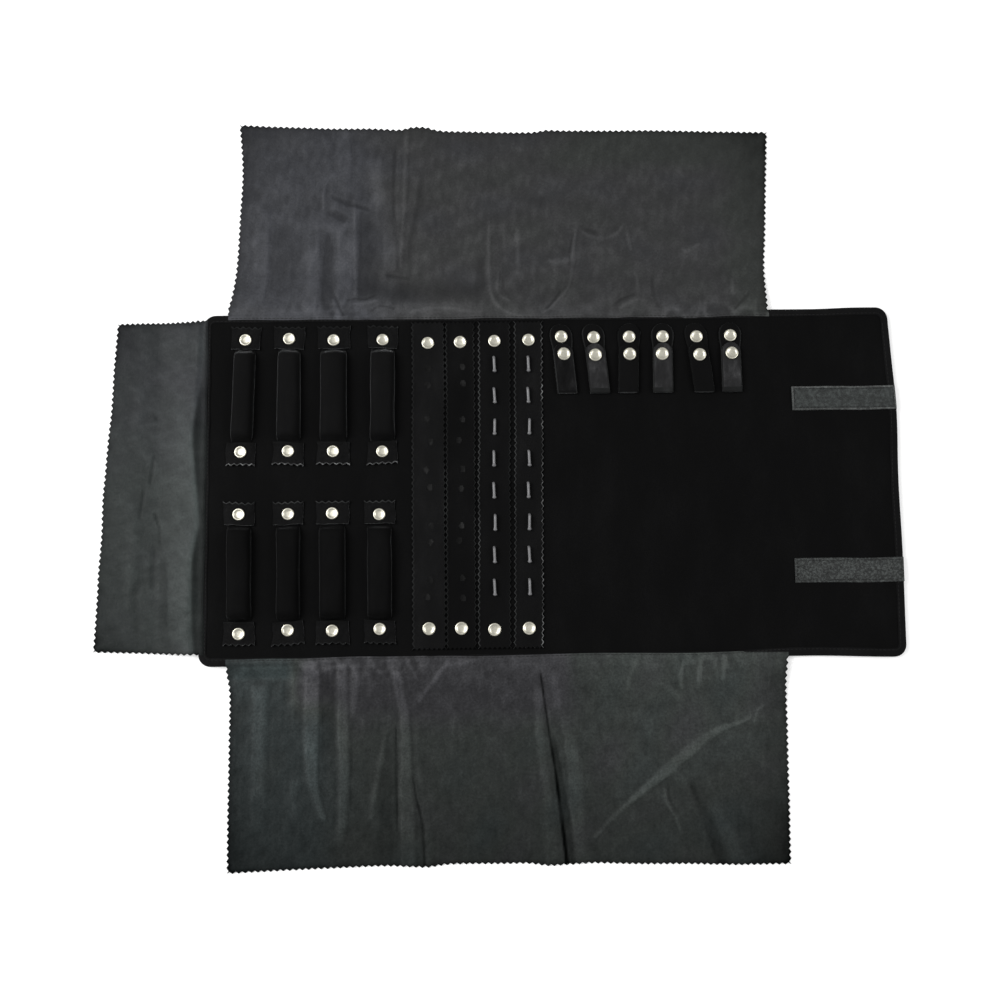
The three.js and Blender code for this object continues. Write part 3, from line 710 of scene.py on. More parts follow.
class Flap:
    """A thin sheet hemmed on the panel. In its own frame u runs along the seam and v out from the panel's edge."""

    def __init__(self, name, edge_at, along, out, hem, sides, outer, fall, look, folds, seed):
        self.name = name
        self.edge_at, self.along, self.out = edge_at, along, out
        self.hem = hem
        self.low_side, self.high_side = (curve(side) for side in sides)
        self.outer = curve(outer)
        self.fall = fall
        self.look = look
        self.folds = folds
        self.seed = seed

    def world(self, u, v):
        return [self.edge_at[k] + self.along[k] * u + self.out[k] * v for k in (0, 1)]

    def seam(self, u):
        """The sewn edge's v, a little wavy."""
        return -self.hem + 0.7 * ripple(u, 0 * u, self.seed + 9, 70)

    def drape(self, u, v):
        """Height of the upper face, from the hem on the panel down to the table."""
        on_panel = SEAT + CLOTH + 0.45 * bell(v, -3.4, 2.4)
        start, end = self.fall(u)
        fall = smooth((v - start) / (end - start))
        return on_panel * (1 - fall) + (CLOTH + TABLE_LIFT) * fall

    def crumple(self, u, v):
        """Small slack everywhere, and sharper puckers where the sewn edge is gathered."""
        slack = 0.8 * ripple(u, v, self.seed + 1, 26) + 0.8 * ripple(u, 0.6 * v, self.seed + 2, 11, 11)
        slack = slack + 0.6 * ripple(u, 0.6 * v, self.seed + 3, 6, 13)
        puckers = 1 - 2.4 * np.abs(ripple(u, 0.4 * v, self.seed + 7, 16, 11))
        puckers = np.clip(puckers, -0.4, 1) + 0.5 * ripple(u, v, self.seed + 8, 7, 11)
        return slack, puckers * self.look(u, v)[2]

    def lay(self, u, v):
        """Height of the upper face, and its painted shading: crests and slack pleats raised and painted paler, valleys
        sunk and painted darker.
        """
        lie = smooth((v + 2) / 8)
        slack, gather = self.crumple(u, v)
        painted_shading = self.look(u, v)[0] + 0.11 * slack + 0.36 * gather
        z = self.drape(u, v)
        for rise, pale, *line in self.folds:
            band = crease(u, v, *line)
            z = z + (0.3 + 0.7 * lie) * rise * band
            painted_shading = painted_shading + pale * band
        z = z + lie * (0.4 * ripple(u, v, self.seed, 58) + 0.13 * slack) + 0.25 * gather * smooth((v + 1) / 4)
        return np.maximum(z, CLOTH + 0.06) - 0.4 * bell(v, -self.hem - 0.6, 1.6), painted_shading

    def grid(self):
        """The whole sheet: places, heights, painted shading and colour cast, with its edges pressed down and pinked
        and painted shade along its edges and in its outer corners.
        """
        width = self.high_side[0][1] - self.low_side[0][1]
        columns, rows = tooth_cells(width), tooth_cells(self.outer[:, 1].max() + self.hem)
        s, t = unit_grid(columns, rows)
        across = self.low_side[0][1] + width * s
        seam = self.seam(across)
        reach = np.interp(across, *self.outer.T)
        v = seam + (reach - seam) * t
        low, high = np.interp(v, *self.low_side.T), np.interp(v, *self.high_side.T)
        u = low + (high - low) * s
        z, painted_shading = self.lay(u, v)
        beyond = smooth((v + 2.5) / 1.5)
        rims = (u - low, high - u, reach - v)
        nearest = np.minimum(np.minimum(rims[0], rims[1]) + 40 * (1 - beyond), rims[2])
        z = np.maximum(z - 0.3 * np.exp(-nearest / 1.4) * beyond, CLOTH + 0.02)
        # Painted shade along the sheet's edges, deeper in its outer corners
        corner = np.exp(-(np.minimum(u - low, high - u) + reach - v) / 30)
        painted_shading = painted_shading - 1.0 * np.exp(-nearest / 1.7) - 0.2 * np.exp(-nearest / 10) - 0.5 * corner
        painted_shading = np.maximum(painted_shading, 0.6 * painted_shading)
        near = [np.clip(1 - rim / 4.5, 0, 1) for rim in rims]
        v = v - near[2] * tooth_cut(columns)[:, None]
        cut = tooth_cut(rows)[None, :] * beyond
        u = u + near[0] * cut - near[1] * cut
        return u, v, z, {"painted_shading": painted_shading, "cast": self.look(u, v)[1] + 0.3 * ripple(u, v, self.seed + 5, 44)}

    def make(self, material):
        u, v, z, tones = self.grid()
        upper = np.stack([*self.world(u, v), z], axis=2)
        normal = grid_normals(upper)
        if normal[..., 2].mean() < 0:
            normal = -normal
        lower = upper - normal * CLOTH
        lower[..., 2] = np.maximum(lower[..., 2], 0.05)
        piece = make_mesh(self.name + "_cloth", *shell(upper, lower), material, 60)
        # Stores the painted shading and the colour cast on the points
        for name, tone in tones.items():
            values = piece.data.attributes.new(name, "FLOAT", "POINT").data
            values.foreach_set("value", np.tile(0.5 + 0.5 * np.clip(tone, -1, 1).ravel(), 2))
        own(piece, "flap_cloth", self.name, self.name + "_hem")
        lay_sheet(piece, (np.ptp(u) + 1, np.ptp(v) + 2))
        ends = [(body, (*self.world(0, v), 0)) for body, v in zip(("root", self.name), HEM_BEND)]
        if self.name == "bottom_flap":
            ends.reverse()  # from its moving end
        (first, start), (second, end) = ends
        bend(piece, first, second, start, end)
        self.sew()

    def sew(self):
        """A row of stitches along the hem, a little way in from the sewn edge."""
        u = np.arange(self.low_side[0][1] + 1, self.high_side[0][1] - 1, STITCH_PITCH)
        v = self.seam(u) + HEM_STITCH
        places = [(np.array(place[:2]), place[2] + 0.05) for place in zip(*self.world(u, v), self.lay(u, v)[0])]
        own(make_stitches(self.name, places, 0.2), "flap_cloth", body="root")


def top_fall(u):
    """Between the pleats and the left part, the cloth runs out further before it falls."""
    held = smooth((u + 158) / 20) * smooth((-44 - u) / 20)
    return -1 + 9 * held, 42 - 10 * held


def bottom_fall(u):
    """The left end falls early, since the folded left flap lies under it."""
    return -2 + 0 * u, 11 + 32 * smooth((u + 206) / 40)


def left_fall(u):
    return 10 + 0 * u, 38 + 0 * u


# Each look gives the painted shading, the cast of colour and how much the seam is gathered
def top_look(u, v):
    seam = np.exp(-np.maximum(v - 1, 0) / 9)
    bluish = smooth((-110 - u) / 60)
    greenish = smooth((v - 116) / 26) * smooth((u + 10) / 50) + smooth((u - 140) / 30)
    # Painted shading: paler on the left and by the seam, painted shade out at the far right and at the far left
    tone = 0.02 + 0.14 * bluish + 0.14 * seam - 0.3 * smooth((u - 130) / 60) * smooth((v - 40) / 110)
    tone = tone - 0.25 * smooth((-236 - u) / 24) * smooth((v - 60) / 60)
    gather = seam * (0.3 + 0.9 * bell(u, -172, 24) + 0.6 * smooth((u - 80) / 30))
    return tone, -0.9 * bluish + 0.9 * greenish, gather


def bottom_look(u, v):
    seam = np.exp(-np.maximum(v - 2, 0) / 11)
    left = smooth((-u - 60) / 80)
    lower = smooth((v - 60) / 90)
    # Painted shading: paler by the seam and towards the right, painted shade lower down and at both ends
    tone = 0.3 * np.exp(-np.maximum(v, 0) / 30) - 0.08 - 0.1 * left + 0.1 * smooth((u + 60) / 80) - 0.28 * lower
    tone = tone - 0.3 * lower * smooth((u - 90) / 80)
    tone = tone - 0.2 * smooth((u - 158) / 22) - 0.2 * smooth((-244 - u) / 14)
    tone = tone + 0.12 * smooth((u - 20) / 40)
    # Painted light over the shade of the early fall at the left end
    tone = tone + 0.5 * smooth((v + 2) / 4) * smooth((13 - v) / 4) * smooth((-186 - u) / 30)
    cast = -0.9 * smooth((-140 - u) / 70) - 0.25 * smooth((u - 60) / 60) * lower
    cast = cast + 1.5 * smooth((62 - v) / 50) * smooth((24 - u) / 30) * smooth((u + 222) / 24)
    gather = 0.35 + 0.8 * smooth((-94 - u) / 20) * smooth((u + 222) / 20) + 0.8 * bell(u, 116, 26)
    return tone, cast, seam * gather


LEFT_CREST = [
    (-137, 3.0), (-112, 5.5), (-84, 6.0), (-58, 6.0), (-44, 3.6), (-30, 1.2), (-18, 1.8), (-2, 3.2),
    (18, 5.2), (38, 7.0), (56, 6.2), (74, 3.6), (92, 0.6), (118, -0.6), (139, -1.2),
]


def left_look(u, v):
    """Painted shade between the panel and a wavy crest, with two darker painted pits, a painted highlight just past
    the crest, and painted shade far out at both ends.
    """
    past = v - np.interp(u, *curve(LEFT_CREST).T)
    slope = smooth((0.8 - past) / 3.4)
    pits = 0.3 * bell(u, -62, 12) + 0.16 * bell(u, 54, 12) - 0.3 * smooth((u - 70) / 30)
    tone = -slope * (0.5 + pits * bell(past, -2, 4) + 0.35 * smooth((1 - v) / 6))
    pale = 0.6 * np.exp(-np.maximum(past, 0) / 17) + 0.3 * bell(past, 1.4, 1.8) * smooth((86 - abs(u)) / 60)
    pale = pale * (1 - slope) * (1 - 0.45 * smooth((u - 20) / 60))
    far = 0.35 * smooth((v - 46) / 40) * (smooth((-96 - u) / 34) + smooth((u - 92) / 34))
    return tone + pale - far - 0.03, 0.75 - 1.3 * smooth((u + 20) / 110), 0 * u


# Each fold: rise in mm, how much paler it is painted (a painted highlight on a crest, painted shade where negative),
# the line, widths along it, softness left and right, fades at start and end
TOP_FOLDS = [
    (0.5, 0.2, [(-240, 8), (-238, 30), (-238, 65), (-238, 104)], (8, 11, 12), (5, 1.2), (10, 18)),
    (-0.2, -0.22, [(-221, 14), (-219, 50), (-220, 84)], (18, 24, 14), (1.5, 5), (12, 16)),
    (0.4, 0.24, [(-197, 0), (-196, 34), (-196, 72)], (10, 12, 11), (4, 1.0), (4, 12)),
    (-0.6, -0.42, [(-183, -2), (-183, 30), (-182, 74)], (7, 10, 9, 2), (1.4, 2.2), (10, 6)),
    (-0.4, -0.6, [(-169, -3), (-174, 8), (-179, 20)], (1.6, 2.2), (0.8, 0.8), (2, 6)),
    (0.5, 0.28, [(-169, 18), (-168, 50), (-168, 76)], (12, 14), (2, 3), (8, 14)),
    (0.6, 0.26, [(-159.6, 14), (-160, 50), (-160.6, 106)], (2.4, 2.2), (1.2, 0.9), (6, 16)),
    (-0.6, -0.46, [(-148, 10), (-149, 50), (-152, 96)], (20, 16, 8), (1.2, 6), (12, 24)),
    (0.3, 0.16, [(-168, 104), (-169, 134), (-170, 164)], (9, 10), (4, 0.9), (10, 0)),
    (0.3, 0.25, [(-187, 90), (-187, 104), (-184, 116), (-177, 124)], (1.6, 1.8), (0.9, 0.9), (4, 3)),
    (-0.3, -0.4, [(-185, 90), (-175, 86), (-166, 82)], (4, 6), (2.4, 1.6), (4, 4)),
    (-0.4, -0.5, [(-182, 104), (-170, 98), (-160, 95), (-147, 91)], (3, 3.6, 2), (1.6, 1.6), (5, 4)),
    (0.5, 0.3, [(-195, 76), (-184, 78), (-172, 74), (-165, 82)], (5, 7, 4), (2.4, 2.4), (4, 4)),
    (0.4, 0.28, [(-136, 86), (-141, 110), (-143, 140)], (10, 12), (4, 4), (14, 20)),
    (-0.5, -0.55, [(-137, 34.5), (-126, 33), (-113, 31)], (1.8, 2.2, 1.6), (0.9, 1.2), (4, 4)),
    (0.4, 0.22, [(-130, 36), (-131, 62), (-136, 84)], (8, 10, 6), (2.5, 2), (4, 16)),
    (0.5, 0.2, [(-122, 37), (-121, 60), (-119, 90), (-118, 120), (-116, 164)], (2.4, 3.2, 3.6), (1.2, 1.4), (6, 0)),
    (-0.5, -0.42, [(-128, 78), (-127.6, 110), (-127, 150)], (2.6, 3), (1.2, 1.2), (12, 10)),
    (-0.4, -0.36, [(-117, 44), (-111, 72), (-105, 102), (-104, 136)], (3, 6, 5), (1.4, 3.2), (8, 30)),
    (0.3, 0.14, [(-110, 34), (-110, 48)], (4, 3), (2, 2), (3, 8)),
    (-0.3, -0.3, [(-142, 20), (-110, 20), (-80, 19), (-50, 19)], (15, 14, 13), (7, 6), (10, 10)),
    (-0.2, -0.2, [(-119, 10), (-119, 30)], (9, 8), (2, 2), (4, 4)),
    (-0.4, -0.4, [(-55, 18), (-55, 34), (-54, 54)], (8, 7, 5), (3, 1.4), (6, 14)),
    (0.25, 0.2, [(-150, 4), (-110, 5), (-60, 4)], (8, 9, 7), (3, 3), (10, 12)),
    (
        0.5, 0.26, [(-47, 98), (-48, 60), (-48, 36), (-47, 18), (-42, 7), (-33, 0), (-22, -3), (-10, -2)],
        (1.8, 2.4, 2.0), (0.9, 1.0), (26, 8),
    ),
    (
        0.5, 0.3, [(-10, -2), (0, 2), (8, 10), (17, 21), (21, 36), (23, 58), (26, 76)],
        (1.8, 2.4, 2.0), (1.0, 0.9), (8, 4),
    ),
    (-0.4, -0.5, [(-2, 2), (6, 11), (13, 22)], (1.8, 2.4), (0.9, 0.9), (4, 6)),
    (-0.3, -0.36, [(19, 40), (20, 56), (24, 72)], (1.8, 2.2), (0.9, 0.9), (6, 4)),
    (0.5, 0.36, [(-40, 40), (-42, 22), (-38, 14), (-29, 9)], (1.8, 2.2), (0.9, 0.9), (8, 5)),
    (-0.3, -0.3, [(-36, 34), (-37, 22), (-31, 14)], (2, 2.4), (1, 1), (6, 4)),
    (0.3, 0.3, [(-24, 30), (-24, 54), (-24, 82)], (3, 4), (1.6, 1.6), (8, 12)),
    (0.3, 0.2, [(-35, 40), (-35, 84)], (2.4, 3), (1.4, 1.4), (8, 12)),
    (0.3, 0.3, [(-1, 46), (10, 45), (21, 47)], (3, 4, 3), (1.8, 1.8), (4, 3)),
    (0.3, 0.24, [(29, 72), (37, 67), (48, 65), (58, 68), (66, 77)], (1.8, 2.6, 1.8), (1, 1.2), (4, 4)),
    (-0.4, -0.5, [(28, 76), (36, 72), (46, 69)], (2.2, 3), (1, 1.4), (3, 6)),
    (-0.3, -0.25, [(50, 72), (60, 74), (64, 80)], (4, 5), (2, 2), (4, 4)),
    (0.4, 0.3, [(67, 80), (69, 66), (72, 52)], (1.8, 2), (0.9, 0.9), (4, 4)),
    (0.3, 0.26, [(36, 54), (48, 56), (60, 52)], (4, 5), (2, 2), (5, 5)),
    (-0.4, -0.45, [(54, 5), (64, 12), (75, 16)], (1.8, 2.6), (0.9, 1.4), (4, 4)),
    (0.3, 0.3, [(58, 2), (68, 8), (78, 12)], (2.4, 3), (1.2, 1.2), (4, 4)),
    (-0.3, -0.35, [(88, 34), (89, 14), (93, 2)], (2, 3), (1.2, 1.2), (8, 4)),
    (0.3, 0.3, [(73, 40), (76, 24), (76, 10)], (2, 3), (1.2, 1.2), (8, 8)),
    (0.3, 0.24, [(112, 56), (118, 53), (126, 58), (132, 60)], (2, 3), (1.2, 1.2), (4, 4)),
    (-0.4, -0.4, [(154, -1), (163, 9), (171, 18)], (1.6, 2.2), (0.9, 0.9), (4, 6)),
    (0.4, 0.3, [(155, 12), (156, 34)], (2, 2.4), (1.2, 1.2), (4, 10)),
    (-0.2, -0.2, [(-30, 102), (-14, 100), (4, 98)], (5, 7), (3, 3), (8, 8)),
    (-0.2, -0.18, [(112, 76), (126, 84), (140, 82)], (7, 9), (4, 4), (8, 8)),
    (-0.3, -0.5, [(-168, 11), (-160, 13.4), (-151, 12.6), (-142, 17)], (1.4, 2), (0.8, 0.8), (2, 3)),
    (-0.3, -0.45, [(-147, 1), (-143, 5), (-135, 6.4), (-126, 3)], (1.2, 1.8), (0.8, 0.8), (2, 3)),
    (0.3, 0.32, [(-164, 8.6), (-152, 9), (-140, 12)], (2.2, 2.6), (1, 1), (3, 3)),
    (0.3, 0.3, [(-116, 0), (-104, 3.4), (-84, 4), (-62, 1)], (2, 2.4), (1, 1), (4, 4)),
]
BOTTOM_FOLDS = [
    (0.3, 0.25, [(-253, 2), (-252, 20), (-248, 40)], (8, 9), (3, 4), (6, 14)),
    (0.6, 0.42, [(-236, 12), (-236, 50), (-236, 90), (-237, 150)], (11, 12, 11), (3.4, 3), (8, 60)),
    (0.3, 0.35, [(-208, 4), (-208, 24), (-209, 44)], (9, 8), (3.5, 3.5), (6, 16)),
    (0.3, 0.35, [(-206, 84), (-209, 104), (-210, 124)], (7, 8), (3, 3), (10, 10)),
    (
        0.7, 0.6, [(-195, -4), (-195, 24), (-195, 60), (-194, 90), (-190, 106), (-184, 124)],
        (13, 12, 11, 8, 4), (2.4, 1.0), (3, 4),
    ),
    (-0.3, -0.3, [(-182, 4), (-181, 40), (-180, 90)], (11, 12, 8), (1.2, 2), (6, 30)),
    (0.7, 0.52, [(-170, -3), (-170, 40), (-169, 90), (-170, 124), (-174, 150)], (8, 8.5, 8, 6), (1.6, 1.2), (4, 30)),
    (0.4, 0.4, [(-158, -4), (-160, 16), (-162, 44)], (5, 6, 3), (1.6, 1.6), (4, 12)),
    (-0.2, -0.3, [(-163, 40), (-163, 80), (-164, 120)], (2, 2), (1, 1), (10, 20)),
    (0.4, 0.4, [(-135, 48), (-140, 79), (-145, 101), (-148, 126)], (3, 4, 4), (1.6, 1.4), (8, 8)),
    (-0.3, -0.3, [(-134, 60), (-135, 100), (-136, 150)], (8, 12), (3, 2), (12, 10)),
    (-0.8, -0.75, [(-128, 44), (-127.4, 70), (-127.2, 100), (-126.5, 140)], (1.4, 1.9, 1.4), (0.8, 0.8), (10, 24)),
    (
        0.7, 0.46, [(-127, 4), (-125, 20), (-120.5, 46), (-119.6, 90), (-118, 153), (-118, 160)],
        (7, 7, 11, 11), (1.4, 1.2), (5, 0),
    ),
    (-0.6, -0.7, [(-115, 84), (-112, 104), (-107, 127), (-105.4, 160)], (1.6, 2), (0.8, 0.9), (12, 0)),
    (0.3, 0.16, [(-111, 52), (-109, 84), (-103, 120), (-101, 158)], (3, 4), (1.6, 1.6), (8, 0)),
    (0.5, 0.6, [(-84, -3), (-96, 12), (-111, 32)], (2.6, 3.6, 2.2), (1.2, 1.2), (3, 6)),
    (0.3, 0.4, [(-86, 2), (-72, -1), (-58, -3)], (2.4, 2.4), (1.2, 1.2), (4, 8)),
    (0.2, 0.2, [(-82, 40), (-82, 80)], (3, 4), (2, 2), (10, 14)),
    (0.2, 0.25, [(-46, 22), (-40, 34)], (1.8, 1.8), (0.9, 0.9), (4, 4)),
    (0.6, 0.32, [(-13, 16), (-13, 46), (-11, 80), (-7, 112), (-5, 158)], (5, 6, 6, 9), (2.4, 0.8), (8, 0)),
    (
        -1.2, -1.3, [(-12, 6), (-8, 36), (-4.6, 62), (-1, 87), (1.8, 111), (4.6, 135), (7, 160)],
        (1.3, 1.6, 1.9, 2.3, 3, 3.6), (0.8, 1.0), (6, 0),
    ),
    (-0.5, -0.5, [(-4, 50), (2, 87), (6, 111), (9.6, 135), (12.4, 160)], (3, 5, 6, 6), (1.4, 0.9), (24, 0)),
    (0.3, 0.3, [(-1, 6), (1, 30), (5, 54)], (6, 7), (2, 2), (8, 20)),
    (0.6, 0.32, [(6, 40), (12, 64), (15, 96), (16, 124), (18, 160)], (7, 11, 11, 9), (1.2, 2.6), (16, 0)),
    (
        0.7, 0.55, [
            (162, 43), (149, 50), (135, 54), (120, 62), (106, 73), (94, 82), (82, 92), (70, 101), (58, 111), (44, 123),
            (27, 140),
        ],
        (2, 5, 8, 9, 5, 3, 2), (1.4, 1.0), (12, 5),
    ),
    (0.3, 0.4, [(170, 36), (162, 41), (159, 54)], (1.6, 1.8), (0.9, 0.9), (4, 5)),
    (-0.4, -0.4, [(104, 94), (112, 110), (120, 130), (129, 158)], (3, 8, 10), (2, 3), (8, 0)),
    (0.5, 0.4, [(120, 108), (131, 130), (144, 158)], (8, 12), (3, 3), (12, 0)),
    (0.4, 0.45, [(86, 98), (86, 110), (94, 124), (99, 140)], (1.8, 2.4), (0.9, 0.9), (4, 10)),
    (-0.3, -0.4, [(89, 98), (89, 109), (97, 122)], (1.6, 2), (0.9, 0.9), (4, 6)),
    (0.5, 0.55, [(66, 0), (60, 12), (58, 26)], (2, 2.6), (1.2, 1.2), (3, 8)),
    (0.6, 0.85, [(118, -3), (116, 12), (115, 24)], (2.6, 3.4, 2), (1.2, 1.2), (3, 8)),
    (0.6, 0.75, [(137, -5), (136, 6), (134, 20)], (3, 3.6, 2), (1.2, 1.2), (3, 8)),
    (0.4, 0.5, [(104, -2), (101, 14), (103, 30)], (2, 3), (1.2, 1.2), (3, 10)),
    (0.3, 0.3, [(74, 16), (90, 22), (102, 32)], (3, 4), (2, 2), (6, 6)),
    (0.2, 0.22, [(38, 78), (48, 84), (52, 98)], (6, 8), (3, 3), (8, 8)),
]
LEFT_FOLDS = [
    (
        1.2, 0.0, [(-137, 6), (-112, 8), (-58, 8), (-30, 4), (-2, 6), (38, 9), (74, 6), (118, 2), (139, 1)],
        (7, 8), (7, 6), (3, 3),
    ),
    (-0.3, -0.35, [(-56, 31), (-40, 33), (-30, 34), (-18, 38)], (1.6, 2.4, 1.6), (1, 1), (14, 4)),
    (-0.3, -0.35, [(2, 42), (18, 40), (30, 38.4)], (1.6, 2.4, 1.4), (1, 1), (4, 5)),
    (-0.3, -0.35, [(-26, 50), (-12, 48), (4, 46)], (1.8, 2.4), (1, 1), (4, 8)),
    (-0.3, -0.3, [(54, 36), (64, 42)], (2, 2.4), (1.2, 1.2), (4, 4)),
    (-0.3, -0.35, [(-134, 24), (-112, 28), (-84, 28), (-50, 30)], (8, 5, 4), (3, 1.4), (8, 14)),
    (-0.3, -0.3, [(-84, 37), (-62, 38), (-44, 36)], (4, 5), (2, 2), (6, 6)),
    (-0.3, -0.25, [(-120, 48), (-92, 52), (-74, 50)], (5, 6), (3, 2), (8, 10)),
    (0.3, 0.12, [(-100, 58), (-40, 54), (10, 62)], (8, 10), (4, 4), (16, 16)),
    (0.3, 0.1, [(30, 56), (86, 50)], (8, 8), (4, 4), (12, 12)),
    (0.3, 0.2, [(-56, 16), (-52, 12)], (5, 5), (3, 3), (2, 2)),
]


def make_flaps():
    Flap(
        "top_flap", (0, TOP), (1, 0), (0, 1), hem=5.0,
        sides=(
            [(-7, -263.6), (3, -265.6), (18, -262.6), (45, -259.5), (85, -257.6), (125, -256.0), (166, -258.6)],
            [(-7, 184.6), (36, 184.0), (64, 185.8), (92, 187.5), (121, 189.0), (160, 191.4)],
        ),
        outer=[
            (-266, 167), (-229, 165.5), (-188, 163.7), (-150, 163.4), (-128, 162.4), (-118, 164.6), (-106, 164.4),
            (-92, 161.2), (-46, 159.8), (-16, 159.4), (-5, 161.4), (16, 160.8), (56, 160.7), (98, 160.5), (140, 159.4),
            (192, 158.4),
        ],
        fall=top_fall, look=top_look, folds=TOP_FOLDS, seed=21,
    ).make(TOP_LINING)
    Flap(
        "bottom_flap", (0, BOTTOM), (1, 0), (0, -1), hem=6.2,
        sides=(
            [(-8, -262.6), (7, -263.0), (22, -260.8), (64, -260.8), (120, -261.0), (162, -260.8)],
            [(-8, 188.4), (3, 188.2), (18, 186.8), (46, 187.0), (88, 186.2), (130, 185.5), (162, 184.8)],
        ),
        outer=[
            (-264, 161.0), (-216, 159.5), (-178, 158.4), (-141, 157.5), (-118, 158.4), (-103, 159.1), (-84, 157.0),
            (-46, 157.4), (-22, 157.6), (-8, 159.4), (10, 159.0), (30, 158.2), (68, 159.6), (106, 160.2), (144, 161.5),
            (189, 161.6),
        ],
        fall=bottom_fall, look=bottom_look, folds=BOTTOM_FOLDS, seed=33,
    ).make(BOTTOM_LINING)
    Flap(
        "left_flap", (LEFT, 0), (0, 1), (-1, 0), hem=4.6,
        sides=(
            [(-6, -134.4), (7, -134.9), (31, -133.9), (55, -132.8), (86, -131.6)],
            [(-6, 139.2), (4, 139.9), (12, 139.0), (49, 139.2), (74, 138.6)],
        ),
        outer=[
            (-136, 84.9), (-94, 83.3), (-65, 82.3), (-36, 80.9), (-7, 80.6), (8, 79.6), (38, 77.8), (68, 75.4),
            (98, 74.4), (113, 73.6), (140, 72.0),
        ],
        fall=left_fall, look=left_look, folds=LEFT_FOLDS, seed=45,
    ).make(SIDE_LINING)


# Snap caps and studs
CAP_PROFILE = [
    (0, 1.0), (1.4, 1.0), (2.4, 1.06), (3.0, 1.2), (3.5, 1.5), (4.0, 1.74), (4.5, 1.72), (4.85, 1.42), (5.0, 0.95),
    (5.0, 0.4), (4.9, 0.0), (4.5, -0.5), (0, -0.5),
]
STUD_PROFILE = [
    (0, 1.5), (1.2, 1.5), (1.75, 1.25), (1.9, 0.9), (1.55, 0.45), (1.7, 0.25), (4.2, 0.12), (4.5, -0.15), (0, -0.15),
]
CAP_POINTS, CAP_FACES = lathe(CAP_PROFILE, 48)
STUD_POINTS, STUD_FACES = lathe(STUD_PROFILE, 28)


def add_cap(name, x, y, z, body, seed, size):
    """A pressed metal cap, set a little askew."""
    tilt = np.random.RandomState(seed).uniform(-0.05, 0.05, 2)
    points = CAP_POINTS * [size, size, 1]
    points[:, 2] += points[:, 0] * tilt[0] + points[:, 1] * tilt[1]
    own(make_mesh(name, points + np.array([x, y, z]), CAP_FACES[::-1], CAP_METAL, 40), "snap_metal", body=body)


def add_caps(name, line, sewn_y, snap_y, z, seeds, sizes=(1.0, 1.0)):
    """A holder's sewn and snap caps, and the stud on the panel that the snap cap grips."""
    add_cap(name + "_sewn_cap", line(sewn_y), sewn_y, z, "root", seeds[0], sizes[0])
    add_cap(name + "_snap_cap", line(snap_y), snap_y, z, name, seeds[1], sizes[1])
    points = STUD_POINTS + np.array([line(snap_y), snap_y, SEAT])
    own(make_mesh(name + "_stud", points, STUD_FACES, STUD_METAL, 40), "snap_metal", body="root")


# Ring bars
TAB_THICKNESS = 1.3
TAB_ROWS = 20
TAB_CLIMB = 1.3
TAB_OVERLAP = 1.4
# The CAD's moving bar starts this far from its hinge line
HINGE_GAP = 0.3
CAP_INSET = 6.5
TUBE_RISE = curve([(0, 0.1), (1.4, 0.13), (3.2, 0.32), (6, 0.8), (9.3, 1.0)], 0.4)
TUBE_SIDES = 32
TUBE_STATIONS = np.concatenate([np.linspace(0, 0.12, 10), np.linspace(0.145, 0.855, 32), np.linspace(0.88, 1, 10)])
STUFF_FRAMES = 20
STUFF_REACH = 0.7
# How far a bar's bend reaches over its sewn tab and up its tube
BAR_BEND = (-1.6, 1.2)
# For each bar: tube and tab width, how far its sewn and snap ends lie from the CAD's line, how far up both caps sit
BARS = [
    (19.4, 24.2, 2.2, -0.4, -0.2, 0.2), (20.8, 25.6, -0.2, -0.4, 0.5, 0.5), (23.4, 27.2, 0.4, 0.2, -0.9, 0),
    (21.8, 25.0, 1.6, 1.2, -1.0, -0.5), (21.3, 25.4, -0.3, -1.3, -1.5, 0.7), (20.5, 25.6, 0.5, 0.1, 0.9, 0.5),
    (22.4, 27.0, 0.0, -0.3, 0, 0.7), (21.3, 25.6, -1.2, -1.4, 0.9, -0.6),
]


def ring_tube(line, hinge_y, way, length, width, height, seed):
    """A stuffed tube from the hinge line: a crowned top, rounded sides and slight unevenness."""
    sections = []
    for t in TUBE_STATIONS:
        near = min(t, 1 - t) * length
        rise = np.interp(near, *TUBE_RISE.T)
        wide = width * (0.92 + 0.08 * min(near / 5.0, 1)) - 0.8
        y = hinge_y + way * (GAP + t * (length - 2 * GAP))
        wave = ripple(t * length, line(y), seed, 30)
        bulge = 1 + 0.02 * ripple(t * length, 40.0, seed + 1, 36)
        ring = []
        for cos, sin in circle(TUBE_SIDES):
            out = signed_power(cos, 0.8) * wide / 2 * bulge
            up = (abs(sin) ** 0.78 if sin > 0 else 0) * (height - 0.5) * rise
            sag = 0.3 * wave * max(sin, 0)
            ring.append((line(y) + out, y, SEAT + GAP + max(0, up + sag * rise)))
        sections.append(ring if way > 0 else ring[::-1])
    return sweep(sections)


def tube_edges(way):
    """The faces of a tube along the upper side of both its edges, and those on its left."""
    edges, left = [], []
    for k in range(TUBE_SIDES):
        a = 360 * (k + 0.5) / TUBE_SIDES
        if 10 < a < 24 or 156 < a < 170:
            at = k if way > 0 else TUBE_SIDES - 2 - k
            run = [i * TUBE_SIDES + at for i in range(len(TUBE_STATIONS) - 1)]
            edges += run
            left += run if a > 90 else []
    return edges, left


